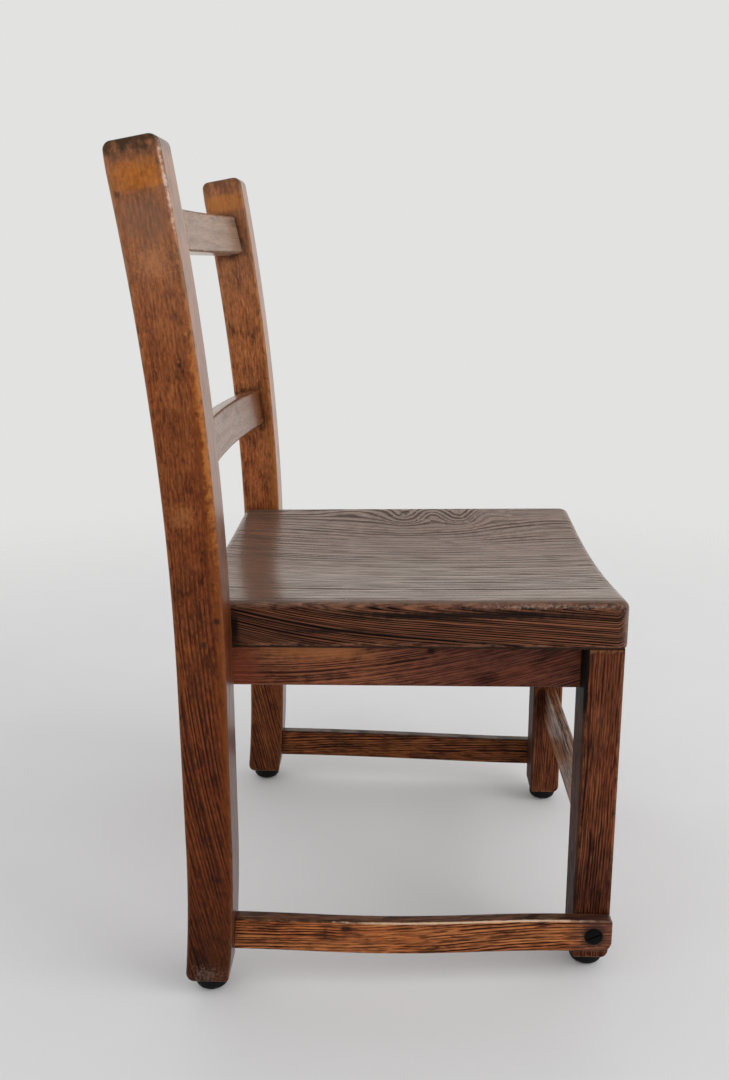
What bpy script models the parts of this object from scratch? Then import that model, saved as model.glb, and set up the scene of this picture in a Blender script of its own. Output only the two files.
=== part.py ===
"""A child's wooden chair: a hollowed seat between two swept back posts, on four rubber feet.

Metres, +Z up. The chair faces -Y, and left and right are the sitter's own, so the right side is at -X.
"""

import math

import bmesh
import bpy
from mathutils import Matrix, Vector

# Heights above the floor
SEAT_HEIGHT = 0.303
BACK_HEIGHT = 0.614

# Clearances and hidden reliefs
FIT = 0.0003
MORTISE_RELIEF = 0.001
OVERCUT = 0.002

# Seat board
SEAT_WIDTH = 0.314
SEAT_DEPTH = 0.320
SEAT_THICKNESS = 0.036
SEAT_FALL = 0.0025
SEAT_RIM = 0.008
HOLLOW_STEEPNESS = 1.25
HOLLOW_FRONT = 0.009
HOLLOW_MIDDLE = 0.011
HOLLOW_REAR = 0.004
SEAT_FRONT_CORNER = 0.010
SEAT_REAR_CORNER = 0.003
SEAT_TOP_EASE = 0.0065
SEAT_BOTTOM_EASE = 0.002
SEAT_SLICES_ACROSS = 20
SEAT_SLICES_ALONG = 12

# Back posts
POST_WIDTH = 0.0355
POST_FOOT_DEPTH = 0.0334
POST_TOP_DEPTH = 0.0370
POST_PROUD = 0.0012
POST_EASE = 0.0025
POST_TOP_FRONT_ROUND = 0.0065
POST_TOP_REAR_ROUND = 0.005
POST_TOP_WEAR = 0.0015
POST_TOP_WEAR_HEIGHT = 0.022
POST_FOOT_CHAMFER = 0.002
POST_HEEL_ROUND = 0.007
POST_SLICES = 15
BACK_SWEEP_DROP = 0.053
BACK_SWEEP_RADIUS = 2.15
FOOT_SWEEP_HEIGHT = 0.125
FOOT_SWEEP_RADIUS = 1.15
FOOT_TAPER = 0.001

# Back rails
RAIL_THICKNESS = 0.0155
RAIL_SETBACK = 0.0105
RAIL_LEAN = 0.07
RAIL_EASE = 0.0025
RAIL_SHOULDER = 0.004
RAIL_TENON = 0.018
RAIL_SLICES = 15
UPPER_RAIL_HEIGHT = 0.0345
UPPER_RAIL_DROP = 0.0335
UPPER_RAIL_BOW = 0.020
LOWER_RAIL_HEIGHT = 0.0345
LOWER_RAIL_RISE = 0.0813
LOWER_RAIL_BOW = 0.010

# Front legs
LEG_WIDTH = 0.038
LEG_DEPTH = 0.0285
LEG_EASE = 0.0025
LEG_TOE = 0.006
LEG_SIDE_INSET = 0.002
LEG_FRONT_INSET = 0.002

# Aprons under the seat
APRON_HEIGHT = 0.0362
APRON_THICKNESS = 0.018
APRON_EASE = 0.0015
APRON_SHOULDER = 0.005
APRON_TENON = 0.010
CROSS_APRON_TENON = 0.018
SIDE_APRON_INSET = 0.017
FRONT_APRON_INSET = 0.004
REAR_APRON_INSET = 0.007

# Front stretcher
FRONT_STRETCHER_BOTTOM = 0.090
FRONT_STRETCHER_HEIGHT = 0.038
FRONT_STRETCHER_THICKNESS = 0.010
FRONT_STRETCHER_INSET = 0.0075
FRONT_STRETCHER_SHOULDER = 0.0025
FRONT_STRETCHER_TENON = 0.016
FRONT_STRETCHER_EASE = 0.002

# Side stretchers
SIDE_STRETCHER_BOTTOM = 0.0255
SIDE_STRETCHER_RISE = 0.0035
SIDE_STRETCHER_HEIGHT = 0.0272
SIDE_STRETCHER_THICKNESS = 0.011
SIDE_STRETCHER_SET_IN = 0.0065
SIDE_STRETCHER_SHOULDER = 0.0025
SIDE_STRETCHER_TENON = 0.014
SIDE_STRETCHER_EASE = 0.002
SIDE_STRETCHER_TOE = 0.008
SIDE_STRETCHER_NOSE = 0.003
SIDE_STRETCHER_SLICES = 14
SIDE_STRETCHER_BOW = {"left": 0.001, "right": 0.005}

# Corner blocks
BLOCK_SIZE = 0.036
BLOCK_HEIGHT = 0.030
BLOCK_CLIP = 0.004

# Rubber feet
FOOT_RADIUS = 0.0128
FOOT_HEIGHT = 0.012
FOOT_DOME_WIDTH = 0.0073
FOOT_DOME_HEIGHT = 0.0055
REAR_FOOT_FORWARD = 0.001
FOOT_HEAD_RECESS = 0.006

# Screws
SCREW_TIP = 0.004
SLOT_WIDTH = 0.0012
SLOT_DEPTH = 0.001
SEAT_SCREW_RADIUS = 0.002
SEAT_SCREW_HEAD = 0.004
SEAT_SCREW_HEAD_HEIGHT = 0.0025
SEAT_SCREW_LENGTH = 0.045
FOOT_SCREW_RADIUS = 0.00175
FOOT_SCREW_HEAD = 0.003
FOOT_SCREW_HEAD_HEIGHT = 0.0022
FOOT_SCREW_LENGTH = 0.022
STRETCHER_SCREW_RADIUS = 0.0025
STRETCHER_SCREW_HEAD = 0.007
STRETCHER_SCREW_SINK = 0.0045
STRETCHER_SCREW_TURN = math.radians(-65)
STRETCHER_SCREW_DOME = 0.0008
STRETCHER_SCREW_LENGTH = 0.032
SCREW_SIDES = 20
FOOT_SIDES = 28
DOME_STEPS = 4

# Places that follow from the sizes: x across from the middle, y back from the seat's front edge
SIDES = {"left": 1, "right": -1}
SEAT_BOTTOM = SEAT_HEIGHT - SEAT_THICKNESS
WOOD_BOTTOM = FOOT_HEIGHT + FIT
FOOT_TAPER_TOP = SIDE_STRETCHER_BOTTOM + SIDE_STRETCHER_RISE - FIT
FRAME_TOP = SEAT_BOTTOM - FIT
POST_INNER = SEAT_WIDTH / 2 + FIT
POST_X = POST_INNER + POST_WIDTH / 2
LEG_OUTER = SEAT_WIDTH / 2 - LEG_SIDE_INSET
LEG_INNER = LEG_OUTER - LEG_WIDTH
LEG_X = LEG_OUTER - LEG_WIDTH / 2
LEG_FRONT = LEG_FRONT_INSET
LEG_REAR = LEG_FRONT + LEG_DEPTH
LEG_Y = LEG_FRONT + LEG_DEPTH / 2
BACK_SWEEP_START = SEAT_HEIGHT - BACK_SWEEP_DROP
SIDE_APRON_X = LEG_OUTER - SIDE_APRON_INSET - APRON_THICKNESS / 2
FRONT_APRON_Y = LEG_FRONT + FRONT_APRON_INSET + APRON_THICKNESS / 2
SIDE_STRETCHER_Z = SIDE_STRETCHER_BOTTOM + SIDE_STRETCHER_HEIGHT / 2

# Colour, roughness and metallic of each finish
FINISHES = {
    "post_wood": ((0.235, 0.096, 0.034), 0.42, 0.0),
    "seat_wood": ((0.105, 0.058, 0.036), 0.34, 0.0),
    "rail_wood": ((0.190, 0.092, 0.045), 0.40, 0.0),
    "leg_wood": ((0.165, 0.072, 0.030), 0.45, 0.0),
    "apron_wood": ((0.150, 0.052, 0.026), 0.45, 0.0),
    "stretcher_wood": ((0.260, 0.112, 0.042), 0.42, 0.0),
    "block_wood": ((0.300, 0.190, 0.100), 0.65, 0.0),
    "black_rubber": ((0.012, 0.012, 0.013), 0.75, 0.0),
    "dark_steel": ((0.030, 0.029, 0.028), 0.50, 1.0),
}
SMOOTH_ANGLE = math.radians(35)


# The shape of a back post, by height
def post_share(z):
    """How far up the post a height lies, from 0 at the foot to 1 at the top."""
    return (z - WOOD_BOTTOM) / (BACK_HEIGHT - WOOD_BOTTOM)


def post_depth(z):
    """Front-to-back depth of the post at a height."""
    return POST_FOOT_DEPTH + (POST_TOP_DEPTH - POST_FOOT_DEPTH) * post_share(z)


POST_MIDDLE = SEAT_DEPTH + POST_PROUD - post_depth(SEAT_HEIGHT) / 2


def post_slope(z):
    """How fast the raked part of the post runs back as it rises."""
    return max(0.0, z - BACK_SWEEP_START) / BACK_SWEEP_RADIUS


def post_centre(z):
    """Middle line of the post: the back sweeps above the seat and the foot kicks back below it."""
    back = max(0.0, z - BACK_SWEEP_START)
    foot = max(0.0, FOOT_SWEEP_HEIGHT - z)
    return POST_MIDDLE + back ** 2 / (2 * BACK_SWEEP_RADIUS) + foot ** 2 / (2 * FOOT_SWEEP_RADIUS)


def foot_taper(z):
    """How far the front of the post is worn back below the side stretcher."""
    share = (FOOT_TAPER_TOP - z) / (FOOT_TAPER_TOP - WOOD_BOTTOM)
    return FOOT_TAPER * max(0.0, share)


def top_wear(z):
    """How far the back of the post is worn in near its top."""
    share = (z - (BACK_HEIGHT - POST_TOP_WEAR_HEIGHT)) / POST_TOP_WEAR_HEIGHT
    return POST_TOP_WEAR * max(0.0, share) ** 2


def post_front(z):
    """Front face of the post at a height."""
    return post_centre(z) - post_depth(z) / 2 + foot_taper(z)


REAR_APRON_Y = post_front(FRAME_TOP) + REAR_APRON_INSET + APRON_THICKNESS / 2


# Making materials and objects
def make_finish(name):
    """A plain Principled material for one finish."""
    colour, roughness, metallic = FINISHES[name]
    material = bpy.data.materials.new(name)
    material.use_nodes = True
    shader = material.node_tree.nodes["Principled BSDF"]
    shader.inputs["Base Color"].default_value = (*colour, 1.0)
    shader.inputs["Roughness"].default_value = roughness
    shader.inputs["Metallic"].default_value = metallic
    material.diffuse_color = (*colour, 1.0)
    return material


def add_object(name, mesh, place=None):
    """Put a mesh in the scene under the chair's own empty."""
    piece = bpy.data.objects.new(name, mesh)
    bpy.context.scene.collection.objects.link(piece)
    piece.parent = bpy.data.objects["chair"]
    if place is not None:
        piece.matrix_local = place
    return piece


def to_mesh(name, bm):
    """Turn a bmesh into a mesh with its faces pointing out and its soft edges smooth."""
    bmesh.ops.recalc_face_normals(bm, faces=bm.faces)
    mesh = bpy.data.meshes.new(name)
    bm.to_mesh(mesh)
    bm.free()
    mesh.shade_smooth()
    mesh.set_sharp_from_angle(angle=SMOOTH_ANGLE)
    return mesh


def add_piece(name, bm, finish, place=None):
    """Add one finished piece of the chair."""
    mesh = to_mesh(name, bm)
    mesh.materials.append(bpy.data.materials[finish])
    return add_object(name, mesh, place)


def cut(piece, bm):
    """Cut the shapes in a bmesh out of a piece, with a hidden cutter."""
    cutter = add_object(piece.name + "_cutter", to_mesh(piece.name + "_cutter", bm))
    cutter.hide_render = True
    cutter.display_type = "WIRE"
    modifier = piece.modifiers.new("cut", "BOOLEAN")
    modifier.operation = "DIFFERENCE"
    modifier.solver = "EXACT"
    modifier.object = cutter


# Shapes that several pieces share
def add_box(bm, low, high, place=None):
    """Add a box between two corners."""
    low = Vector(low)
    high = Vector(high)
    box = Matrix.Translation((low + high) / 2) @ Matrix.Diagonal((*(high - low), 1.0))
    if place is not None:
        box = place @ box
    return bmesh.ops.create_cube(bm, size=1.0, matrix=box)["verts"]


def round_edges(bm, edges, radius, segments=2):
    """Round the given edges."""
    bmesh.ops.bevel(bm, geom=list(edges), offset=radius, segments=segments, profile=0.5,
                    affect="EDGES", material=-1)


def slice_across(bm, axis, places):
    """Cut rings of edges through a mesh at places along one axis."""
    normal = Vector((0, 0, 0))
    normal[axis] = 1
    for place in places:
        everything = bm.verts[:] + bm.edges[:] + bm.faces[:]
        bmesh.ops.bisect_plane(bm, geom=everything, dist=1e-6, plane_co=normal * place, plane_no=normal)


def spread(low, high, count):
    """Evenly spaced places strictly between two limits."""
    return [low + (high - low) * step / (count + 1) for step in range(1, count + 1)]


def corner_edges(bm, low, high, along):
    """Edges of a box's body that run along one axis at its four outer corners."""
    others = [axis for axis in range(3) if axis != along]
    for edge in bm.edges:
        first, second = (vert.co for vert in edge.verts)
        outer = all(
            min(abs(point[axis] - low[axis]), abs(point[axis] - high[axis])) < 1e-6
            for point in (first, second) for axis in others
        )
        if outer and abs(first[along] - second[along]) > 1e-6:
            yield edge


def add_tenon(bm, along, end, shoulder, length):
    """Grow a tenon from a box's end face, inside an even shoulder."""
    face = next(
        face for face in bm.faces
        if all(abs(vert.co[along] - end) < 1e-6 for vert in face.verts)
    )
    outward = math.copysign(1, face.normal[along])
    bmesh.ops.inset_individual(bm, faces=[face], thickness=shoulder, use_even_offset=True)
    tip = bmesh.ops.extrude_discrete_faces(bm, faces=[face])["faces"][0]
    step = Vector((0, 0, 0))
    step[along] = outward * length
    bmesh.ops.translate(bm, verts=tip.verts, vec=step)


def tenoned_bar(length, depth, height, shoulder, tenon, ease):
    """A bar along X about the origin, with a tenon on each end and eased long edges."""
    bm = bmesh.new()
    low = Vector((-length / 2, -depth / 2, -height / 2))
    high = -low
    add_box(bm, low, high)
    bm.normal_update()
    for end in (low.x, high.x):
        add_tenon(bm, 0, end, shoulder, tenon)
    round_edges(bm, corner_edges(bm, low, high, 0), ease)
    return bm


def add_mortise(bm, place, side, half_length, depth, height, shoulder, tenon):
    """Add a cutter for the tenon that tenoned_bar makes on one end of a bar."""
    half_depth = depth / 2 - shoulder + FIT
    half_height = height / 2 - shoulder + FIT
    near = half_length - OVERCUT
    far = half_length + tenon + MORTISE_RELIEF
    x_range = sorted((side * near, side * far))
    add_box(bm, (x_range[0], -half_depth, -half_height), (x_range[1], half_depth, half_height), place)


def turned(profile, sides, place=None):
    """Turn a closed profile of radius and height about Z."""
    bm = bmesh.new()
    verts = [bm.verts.new((radius, 0, height)) for radius, height in profile]
    for first, second in zip(verts, verts[1:] + verts[:1]):
        if first.co.x > 0 or second.co.x > 0:
            bm.edges.new((first, second))
    geometry = bm.verts[:] + bm.edges[:]
    bmesh.ops.spin(bm, geom=geometry, cent=(0, 0, 0), axis=(0, 0, 1), angle=2 * math.pi,
                   steps=sides, use_merge=True)
    bmesh.ops.remove_doubles(bm, verts=bm.verts, dist=1e-6)
    if place is not None:
        bmesh.ops.transform(bm, matrix=place, verts=bm.verts)
    return bm


def add_turned(bm, profile, sides, place):
    """Add a turned shape to a mesh that already holds others."""
    shape = turned(profile, sides, place)
    mesh = bpy.data.meshes.new("turned")
    shape.to_mesh(mesh)
    shape.free()
    bm.from_mesh(mesh)
    bpy.data.meshes.remove(mesh)


def pin_profile(radius, top, bottom):
    """Profile of a plain round hole or pin."""
    return [(0, top), (radius, top), (radius, bottom), (0, bottom)]


def slotted_mesh(name, profile, head_top):
    """A turned screw mesh with a slot across its head."""
    blank = add_piece(name, turned(profile, SCREW_SIDES), "dark_steel")
    reach = max(radius for radius, height in profile) + OVERCUT
    slot = bmesh.new()
    add_box(slot, (-reach, -SLOT_WIDTH / 2, head_top - SLOT_DEPTH),
            (reach, SLOT_WIDTH / 2, head_top + OVERCUT))
    cut(blank, slot)
    mesh = bpy.data.meshes.new_from_object(blank.evaluated_get(bpy.context.evaluated_depsgraph_get()))
    bpy.data.objects.remove(blank.modifiers["cut"].object)
    bpy.data.objects.remove(blank)
    return mesh


def dome(radius, height, foot):
    """Points of a shallow dome from its crown to its rim."""
    steps = [step / DOME_STEPS * math.pi / 2 for step in range(DOME_STEPS + 1)]
    return [(radius * math.sin(turn), foot + height * math.cos(turn)) for turn in steps]


def round_head_screw(radius, head, head_height, length):
    """Profile of a round-headed screw that points down from z = 0 under its head."""
    points = dome(head, head_height, 0.0)
    points[0] = (0.0, head_height)
    return points + [(radius, 0.0), (radius, SCREW_TIP - length), (0.0, -length)]


def sunk_screw(radius, head, sink, crown, length, grow=0.0):
    """Profile of a sunk screw that points down from z = 0 at its rim; grow widens it into its hole."""
    points = dome(head + grow, crown, 0.0)
    points[0] = (0.0, crown)
    return points + [(radius + grow, -sink - grow), (radius + grow, SCREW_TIP - length), (0.0, -length - grow)]


# The pieces of the chair
def hollow(x, y):
    """How deep the seat is hollowed at a place."""
    half = SEAT_WIDTH / 2 - SEAT_RIM
    across = max(0.0, 1 - (x / half) ** 2)
    share = min(max(y / SEAT_DEPTH, 0.0), 1.0)
    ends = HOLLOW_FRONT + (HOLLOW_REAR - HOLLOW_FRONT) * share
    middle = HOLLOW_MIDDLE - (HOLLOW_FRONT + HOLLOW_REAR) / 2
    return (ends + middle * 4 * share * (1 - share)) * across ** HOLLOW_STEEPNESS


def make_seat():
    """The seat board, hollowed across its width and falling to the back, with screw holes under it."""
    bm = bmesh.new()
    low = Vector((-SEAT_WIDTH / 2, 0.0, SEAT_BOTTOM))
    high = Vector((SEAT_WIDTH / 2, SEAT_DEPTH, SEAT_HEIGHT))
    add_box(bm, low, high)
    corners = list(corner_edges(bm, low, high, 2))
    front = [edge for edge in corners if edge.verts[0].co.y < SEAT_DEPTH / 2]
    rear = [edge for edge in corners if edge not in front]
    round_edges(bm, front, SEAT_FRONT_CORNER, 4)
    rear = [edge for edge in rear if edge.is_valid]
    round_edges(bm, rear, SEAT_REAR_CORNER)
    for level, ease, segments in ((SEAT_HEIGHT, SEAT_TOP_EASE, 3), (SEAT_BOTTOM, SEAT_BOTTOM_EASE, 1)):
        rim = [
            edge for edge in bm.edges
            if all(abs(vert.co.z - level) < 1e-6 for vert in edge.verts)
        ]
        round_edges(bm, rim, ease, segments)
    slice_across(bm, 0, spread(low.x, high.x, SEAT_SLICES_ACROSS))
    slice_across(bm, 1, spread(low.y, high.y, SEAT_SLICES_ALONG))
    for vert in bm.verts:
        share = (vert.co.z - SEAT_BOTTOM) / SEAT_THICKNESS
        fall = SEAT_FALL * vert.co.y / SEAT_DEPTH
        vert.co.z -= share * (hollow(vert.co.x, vert.co.y) + fall)
    bm.normal_update()
    under = [face for face in bm.faces if face.normal.z < -0.999]
    bmesh.ops.dissolve_faces(bm, faces=under, use_verts=True)
    seat = add_piece("seat", bm, "seat_wood")
    holes = bmesh.new()
    for place in block_places().values():
        tip = place["base"] - FIT + SEAT_SCREW_LENGTH + MORTISE_RELIEF
        hole = pin_profile(SEAT_SCREW_RADIUS + FIT, tip, SEAT_BOTTOM - OVERCUT)
        add_turned(holes, hole, SCREW_SIDES, Matrix.Translation((*place["screw"], 0.0)))
    cut(seat, holes)


def shape_post(bm):
    """Sweep a straight post blank to the line of the back and wear its foot."""
    for vert in bm.verts:
        z = vert.co.z
        local = vert.co.y * post_depth(z) / POST_FOOT_DEPTH
        worn = foot_taper(z) if local < 0 else top_wear(z)
        vert.co.y = post_centre(z) + local * (1 - 2 * worn / post_depth(z))
        vert.co.z = z - post_slope(z) * local


def make_post(name, side):
    """One back post, with mortises for the rails, the rear apron and the side stretcher."""
    bm = bmesh.new()
    half = Vector((POST_WIDTH / 2, POST_FOOT_DEPTH / 2, 0))
    low = Vector((-half.x, -half.y, WOOD_BOTTOM))
    high = Vector((half.x, half.y, BACK_HEIGHT))
    add_box(bm, low, high)
    ends = list(corner_edges(bm, low, high, 0))
    rounds = (
        (POST_TOP_FRONT_ROUND, BACK_HEIGHT, low.y, 4),
        (POST_TOP_REAR_ROUND, BACK_HEIGHT, high.y, 3),
        (POST_FOOT_CHAMFER, WOOD_BOTTOM, low.y, 1),
        (POST_HEEL_ROUND, WOOD_BOTTOM, high.y, 4),
    )
    for radius, level, edge_y, segments in rounds:
        chosen = [
            edge for edge in ends if edge.is_valid
            and abs(edge.verts[0].co.z - level) < 1e-6 and abs(edge.verts[0].co.y - edge_y) < 1e-6
        ]
        round_edges(bm, chosen, radius, segments)
    bm.normal_update()
    outline = {edge for face in bm.faces if abs(face.normal.x) > 0.99 for edge in face.edges}
    round_edges(bm, outline, POST_EASE)
    slice_across(bm, 2, [FOOT_TAPER_TOP])
    slice_across(bm, 2, spread(FOOT_TAPER_TOP, BACK_HEIGHT - POST_TOP_FRONT_ROUND, POST_SLICES))
    slice_across(bm, 2, [BACK_HEIGHT - POST_TOP_WEAR_HEIGHT / 2])
    shape_post(bm)
    bmesh.ops.translate(bm, verts=bm.verts, vec=(SIDES[side] * POST_X, 0, 0))
    post = add_piece(name, bm, "post_wood")
    holes = bmesh.new()
    for rail in back_rails().values():
        add_mortise(holes, rail["place"], SIDES[side], POST_INNER - FIT, RAIL_THICKNESS, rail["height"],
                    RAIL_SHOULDER, RAIL_TENON)
    add_mortise(holes, rear_apron_place(), SIDES[side], POST_INNER - FIT, APRON_THICKNESS, APRON_HEIGHT,
                APRON_SHOULDER, CROSS_APRON_TENON)
    add_stretcher_mortise(holes, side)
    add_foot_screw_hole(holes, SIDES[side] * POST_X, foot_centre("rear"))
    cut(post, holes)


def back_rails():
    """Height, bow and place of each back rail; the rails lean a little further back than the posts."""
    upper = BACK_HEIGHT - UPPER_RAIL_DROP - UPPER_RAIL_HEIGHT / 2
    lower = SEAT_HEIGHT + LOWER_RAIL_RISE + LOWER_RAIL_HEIGHT / 2
    rails = {
        "upper_back_rail": {"level": upper, "height": UPPER_RAIL_HEIGHT, "bow": UPPER_RAIL_BOW},
        "lower_back_rail": {"level": lower, "height": LOWER_RAIL_HEIGHT, "bow": LOWER_RAIL_BOW},
    }
    for rail in rails.values():
        level = rail["level"]
        middle = post_front(level) + RAIL_SETBACK + RAIL_THICKNESS / 2
        lean = Matrix.Rotation(-math.atan(post_slope(level) + RAIL_LEAN), 4, "X")
        rail["place"] = Matrix.Translation((0, middle, level)) @ lean
    return rails


def make_back_rail(name, rail):
    """A bowed cross rail of the back, tenoned into both posts."""
    half = POST_INNER - FIT
    bm = tenoned_bar(2 * half, RAIL_THICKNESS, rail["height"], RAIL_SHOULDER, RAIL_TENON, RAIL_EASE)
    slice_across(bm, 0, spread(-half, half, RAIL_SLICES))
    bmesh.ops.transform(bm, matrix=rail["place"], verts=bm.verts)
    for vert in bm.verts:
        share = min(abs(vert.co.x) / half, 1.0)
        vert.co.y += rail["bow"] * (1 - share ** 2)
    add_piece(name, bm, "rail_wood")


def front_apron_place():
    """Middle of the front apron."""
    return Matrix.Translation((0, FRONT_APRON_Y, FRAME_TOP - APRON_HEIGHT / 2))


def rear_apron_place():
    """Middle of the rear apron."""
    return Matrix.Translation((0, REAR_APRON_Y, FRAME_TOP - APRON_HEIGHT / 2))


def side_apron_ends():
    """Where a side apron's shoulders stand, front and rear."""
    return LEG_REAR + FIT, REAR_APRON_Y - APRON_THICKNESS / 2 - FIT


def side_apron_place(side):
    """Middle of a side apron, with the bar's own X turned to run back."""
    front, rear = side_apron_ends()
    middle = Vector((SIDES[side] * SIDE_APRON_X, (front + rear) / 2, FRAME_TOP - APRON_HEIGHT / 2))
    return Matrix.Translation(middle) @ Matrix.Rotation(math.pi / 2, 4, "Z")


def side_apron_half():
    """Half the length of a side apron between its shoulders."""
    front, rear = side_apron_ends()
    return (rear - front) / 2


def make_aprons():
    """The four rails of the seat frame."""
    cross = (APRON_THICKNESS, APRON_HEIGHT, APRON_SHOULDER, CROSS_APRON_TENON, APRON_EASE)
    bm = tenoned_bar(2 * (LEG_INNER - FIT), *cross)
    bmesh.ops.transform(bm, matrix=front_apron_place(), verts=bm.verts)
    add_piece("front_apron", bm, "apron_wood")
    bm = tenoned_bar(2 * (POST_INNER - FIT), *cross)
    bmesh.ops.transform(bm, matrix=rear_apron_place(), verts=bm.verts)
    rear = add_piece("rear_apron", bm, "apron_wood")
    holes = bmesh.new()
    for side in SIDES:
        add_mortise(holes, side_apron_place(side), 1, side_apron_half(), APRON_THICKNESS, APRON_HEIGHT,
                    APRON_SHOULDER, APRON_TENON)
        bm = tenoned_bar(2 * side_apron_half(), APRON_THICKNESS, APRON_HEIGHT, APRON_SHOULDER, APRON_TENON,
                         APRON_EASE)
        bmesh.ops.transform(bm, matrix=side_apron_place(side), verts=bm.verts)
        add_piece("side_apron_" + side, bm, "apron_wood")
    cut(rear, holes)


def front_stretcher_place():
    """Middle of the front stretcher."""
    middle_y = LEG_FRONT + FRONT_STRETCHER_INSET + FRONT_STRETCHER_THICKNESS / 2
    return Matrix.Translation((0, middle_y, FRONT_STRETCHER_BOTTOM + FRONT_STRETCHER_HEIGHT / 2))


def make_front_stretcher():
    """The board between the front legs."""
    bm = tenoned_bar(2 * (LEG_INNER - FIT), FRONT_STRETCHER_THICKNESS, FRONT_STRETCHER_HEIGHT,
                     FRONT_STRETCHER_SHOULDER, FRONT_STRETCHER_TENON, FRONT_STRETCHER_EASE)
    bmesh.ops.transform(bm, matrix=front_stretcher_place(), verts=bm.verts)
    add_piece("front_stretcher", bm, "stretcher_wood")


def stretcher_rear():
    """Where a side stretcher's shoulder stands, at the middle of its height."""
    return post_front(SIDE_STRETCHER_Z + SIDE_STRETCHER_RISE) - FIT


def stretcher_share(y):
    """How far along its free run a place on a side stretcher lies, from the leg to the post."""
    return min(max((y - LEG_REAR) / (stretcher_rear() - LEG_REAR), 0.0), 1.0)


def stretcher_inner(side, y):
    """Inner face of a side stretcher: flat on the leg, then easing out and bowing on its way to the post."""
    share = stretcher_share(y)
    eased = share * share * (3 - 2 * share)
    start = LEG_OUTER + FIT
    end = POST_INNER + SIDE_STRETCHER_SET_IN
    bow = SIDE_STRETCHER_BOW[side] * math.sin(math.pi * share) ** 2
    return start + (end - start) * eased + bow


def stretcher_screw_place(side):
    """Where a stretcher screw's rim sits, with the screw pointing into the leg."""
    outer = LEG_OUTER + FIT + SIDE_STRETCHER_THICKNESS
    turn = Matrix.Rotation(SIDES[side] * math.pi / 2, 4, "Y")
    return Matrix.Translation((SIDES[side] * outer, LEG_Y, SIDE_STRETCHER_Z)) @ turn


def stretcher_screw_hole():
    """Profile of the hole for a stretcher screw."""
    grown = sunk_screw(STRETCHER_SCREW_RADIUS, STRETCHER_SCREW_HEAD, STRETCHER_SCREW_SINK, OVERCUT,
                       STRETCHER_SCREW_LENGTH + MORTISE_RELIEF, FIT)
    rim = STRETCHER_SCREW_HEAD + FIT
    return [(0.0, OVERCUT), (rim, OVERCUT)] + grown[DOME_STEPS:]


def make_side_stretcher(side):
    """A slat lapped on the front leg's outer face and tenoned into the post's front."""
    bm = bmesh.new()
    rear = stretcher_rear()
    low = Vector((0, LEG_FRONT, SIDE_STRETCHER_BOTTOM))
    high = Vector((SIDE_STRETCHER_THICKNESS, rear, SIDE_STRETCHER_BOTTOM + SIDE_STRETCHER_HEIGHT))
    add_box(bm, low, high)
    bm.normal_update()
    add_tenon(bm, 1, rear, SIDE_STRETCHER_SHOULDER, SIDE_STRETCHER_TENON)
    ends = [edge for edge in corner_edges(bm, low, high, 0) if edge.verts[0].co.y < rear - OVERCUT]
    for edge in ends:
        radius = SIDE_STRETCHER_TOE if edge.verts[0].co.z < SIDE_STRETCHER_Z else SIDE_STRETCHER_NOSE
        if edge.is_valid:
            round_edges(bm, [edge], radius, 4)
    bm.normal_update()
    outline = {
        edge for face in bm.faces if abs(face.normal.x) > 0.99 and face.calc_center_median().y < rear
        for edge in face.edges
        if not all(abs(vert.co.y - rear) < 1e-6 for vert in edge.verts)
    }
    round_edges(bm, outline, SIDE_STRETCHER_EASE)
    slice_across(bm, 1, spread(LEG_REAR, rear, SIDE_STRETCHER_SLICES))
    for vert in bm.verts:
        x, y, z = vert.co
        z += SIDE_STRETCHER_RISE * stretcher_share(y)
        slant = post_front(z) - FIT - rear if y > rear - 1e-6 else 0.0
        vert.co = (SIDES[side] * (x + stretcher_inner(side, y)), y + slant, z)
    piece = add_piece("side_stretcher_" + side, bm, "stretcher_wood")
    cut(piece, turned(stretcher_screw_hole(), SCREW_SIDES, stretcher_screw_place(side)))


def add_stretcher_mortise(bm, side):
    """Add the cutter for a side stretcher's tenon in its post."""
    inner = POST_INNER + SIDE_STRETCHER_SET_IN + SIDE_STRETCHER_SHOULDER - FIT
    outer = POST_INNER + SIDE_STRETCHER_SET_IN + SIDE_STRETCHER_THICKNESS - SIDE_STRETCHER_SHOULDER + FIT
    middle = SIDE_STRETCHER_Z + SIDE_STRETCHER_RISE
    half = SIDE_STRETCHER_HEIGHT / 2 - SIDE_STRETCHER_SHOULDER + FIT
    bottom = middle - half
    top = middle + half
    faces = [post_front(level) for level in (bottom, middle, top)]
    x_range = sorted((SIDES[side] * inner, SIDES[side] * outer))
    end = max(faces) + SIDE_STRETCHER_TENON + MORTISE_RELIEF
    add_box(bm, (x_range[0], min(faces) - OVERCUT, bottom), (x_range[1], end, top))


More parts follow.
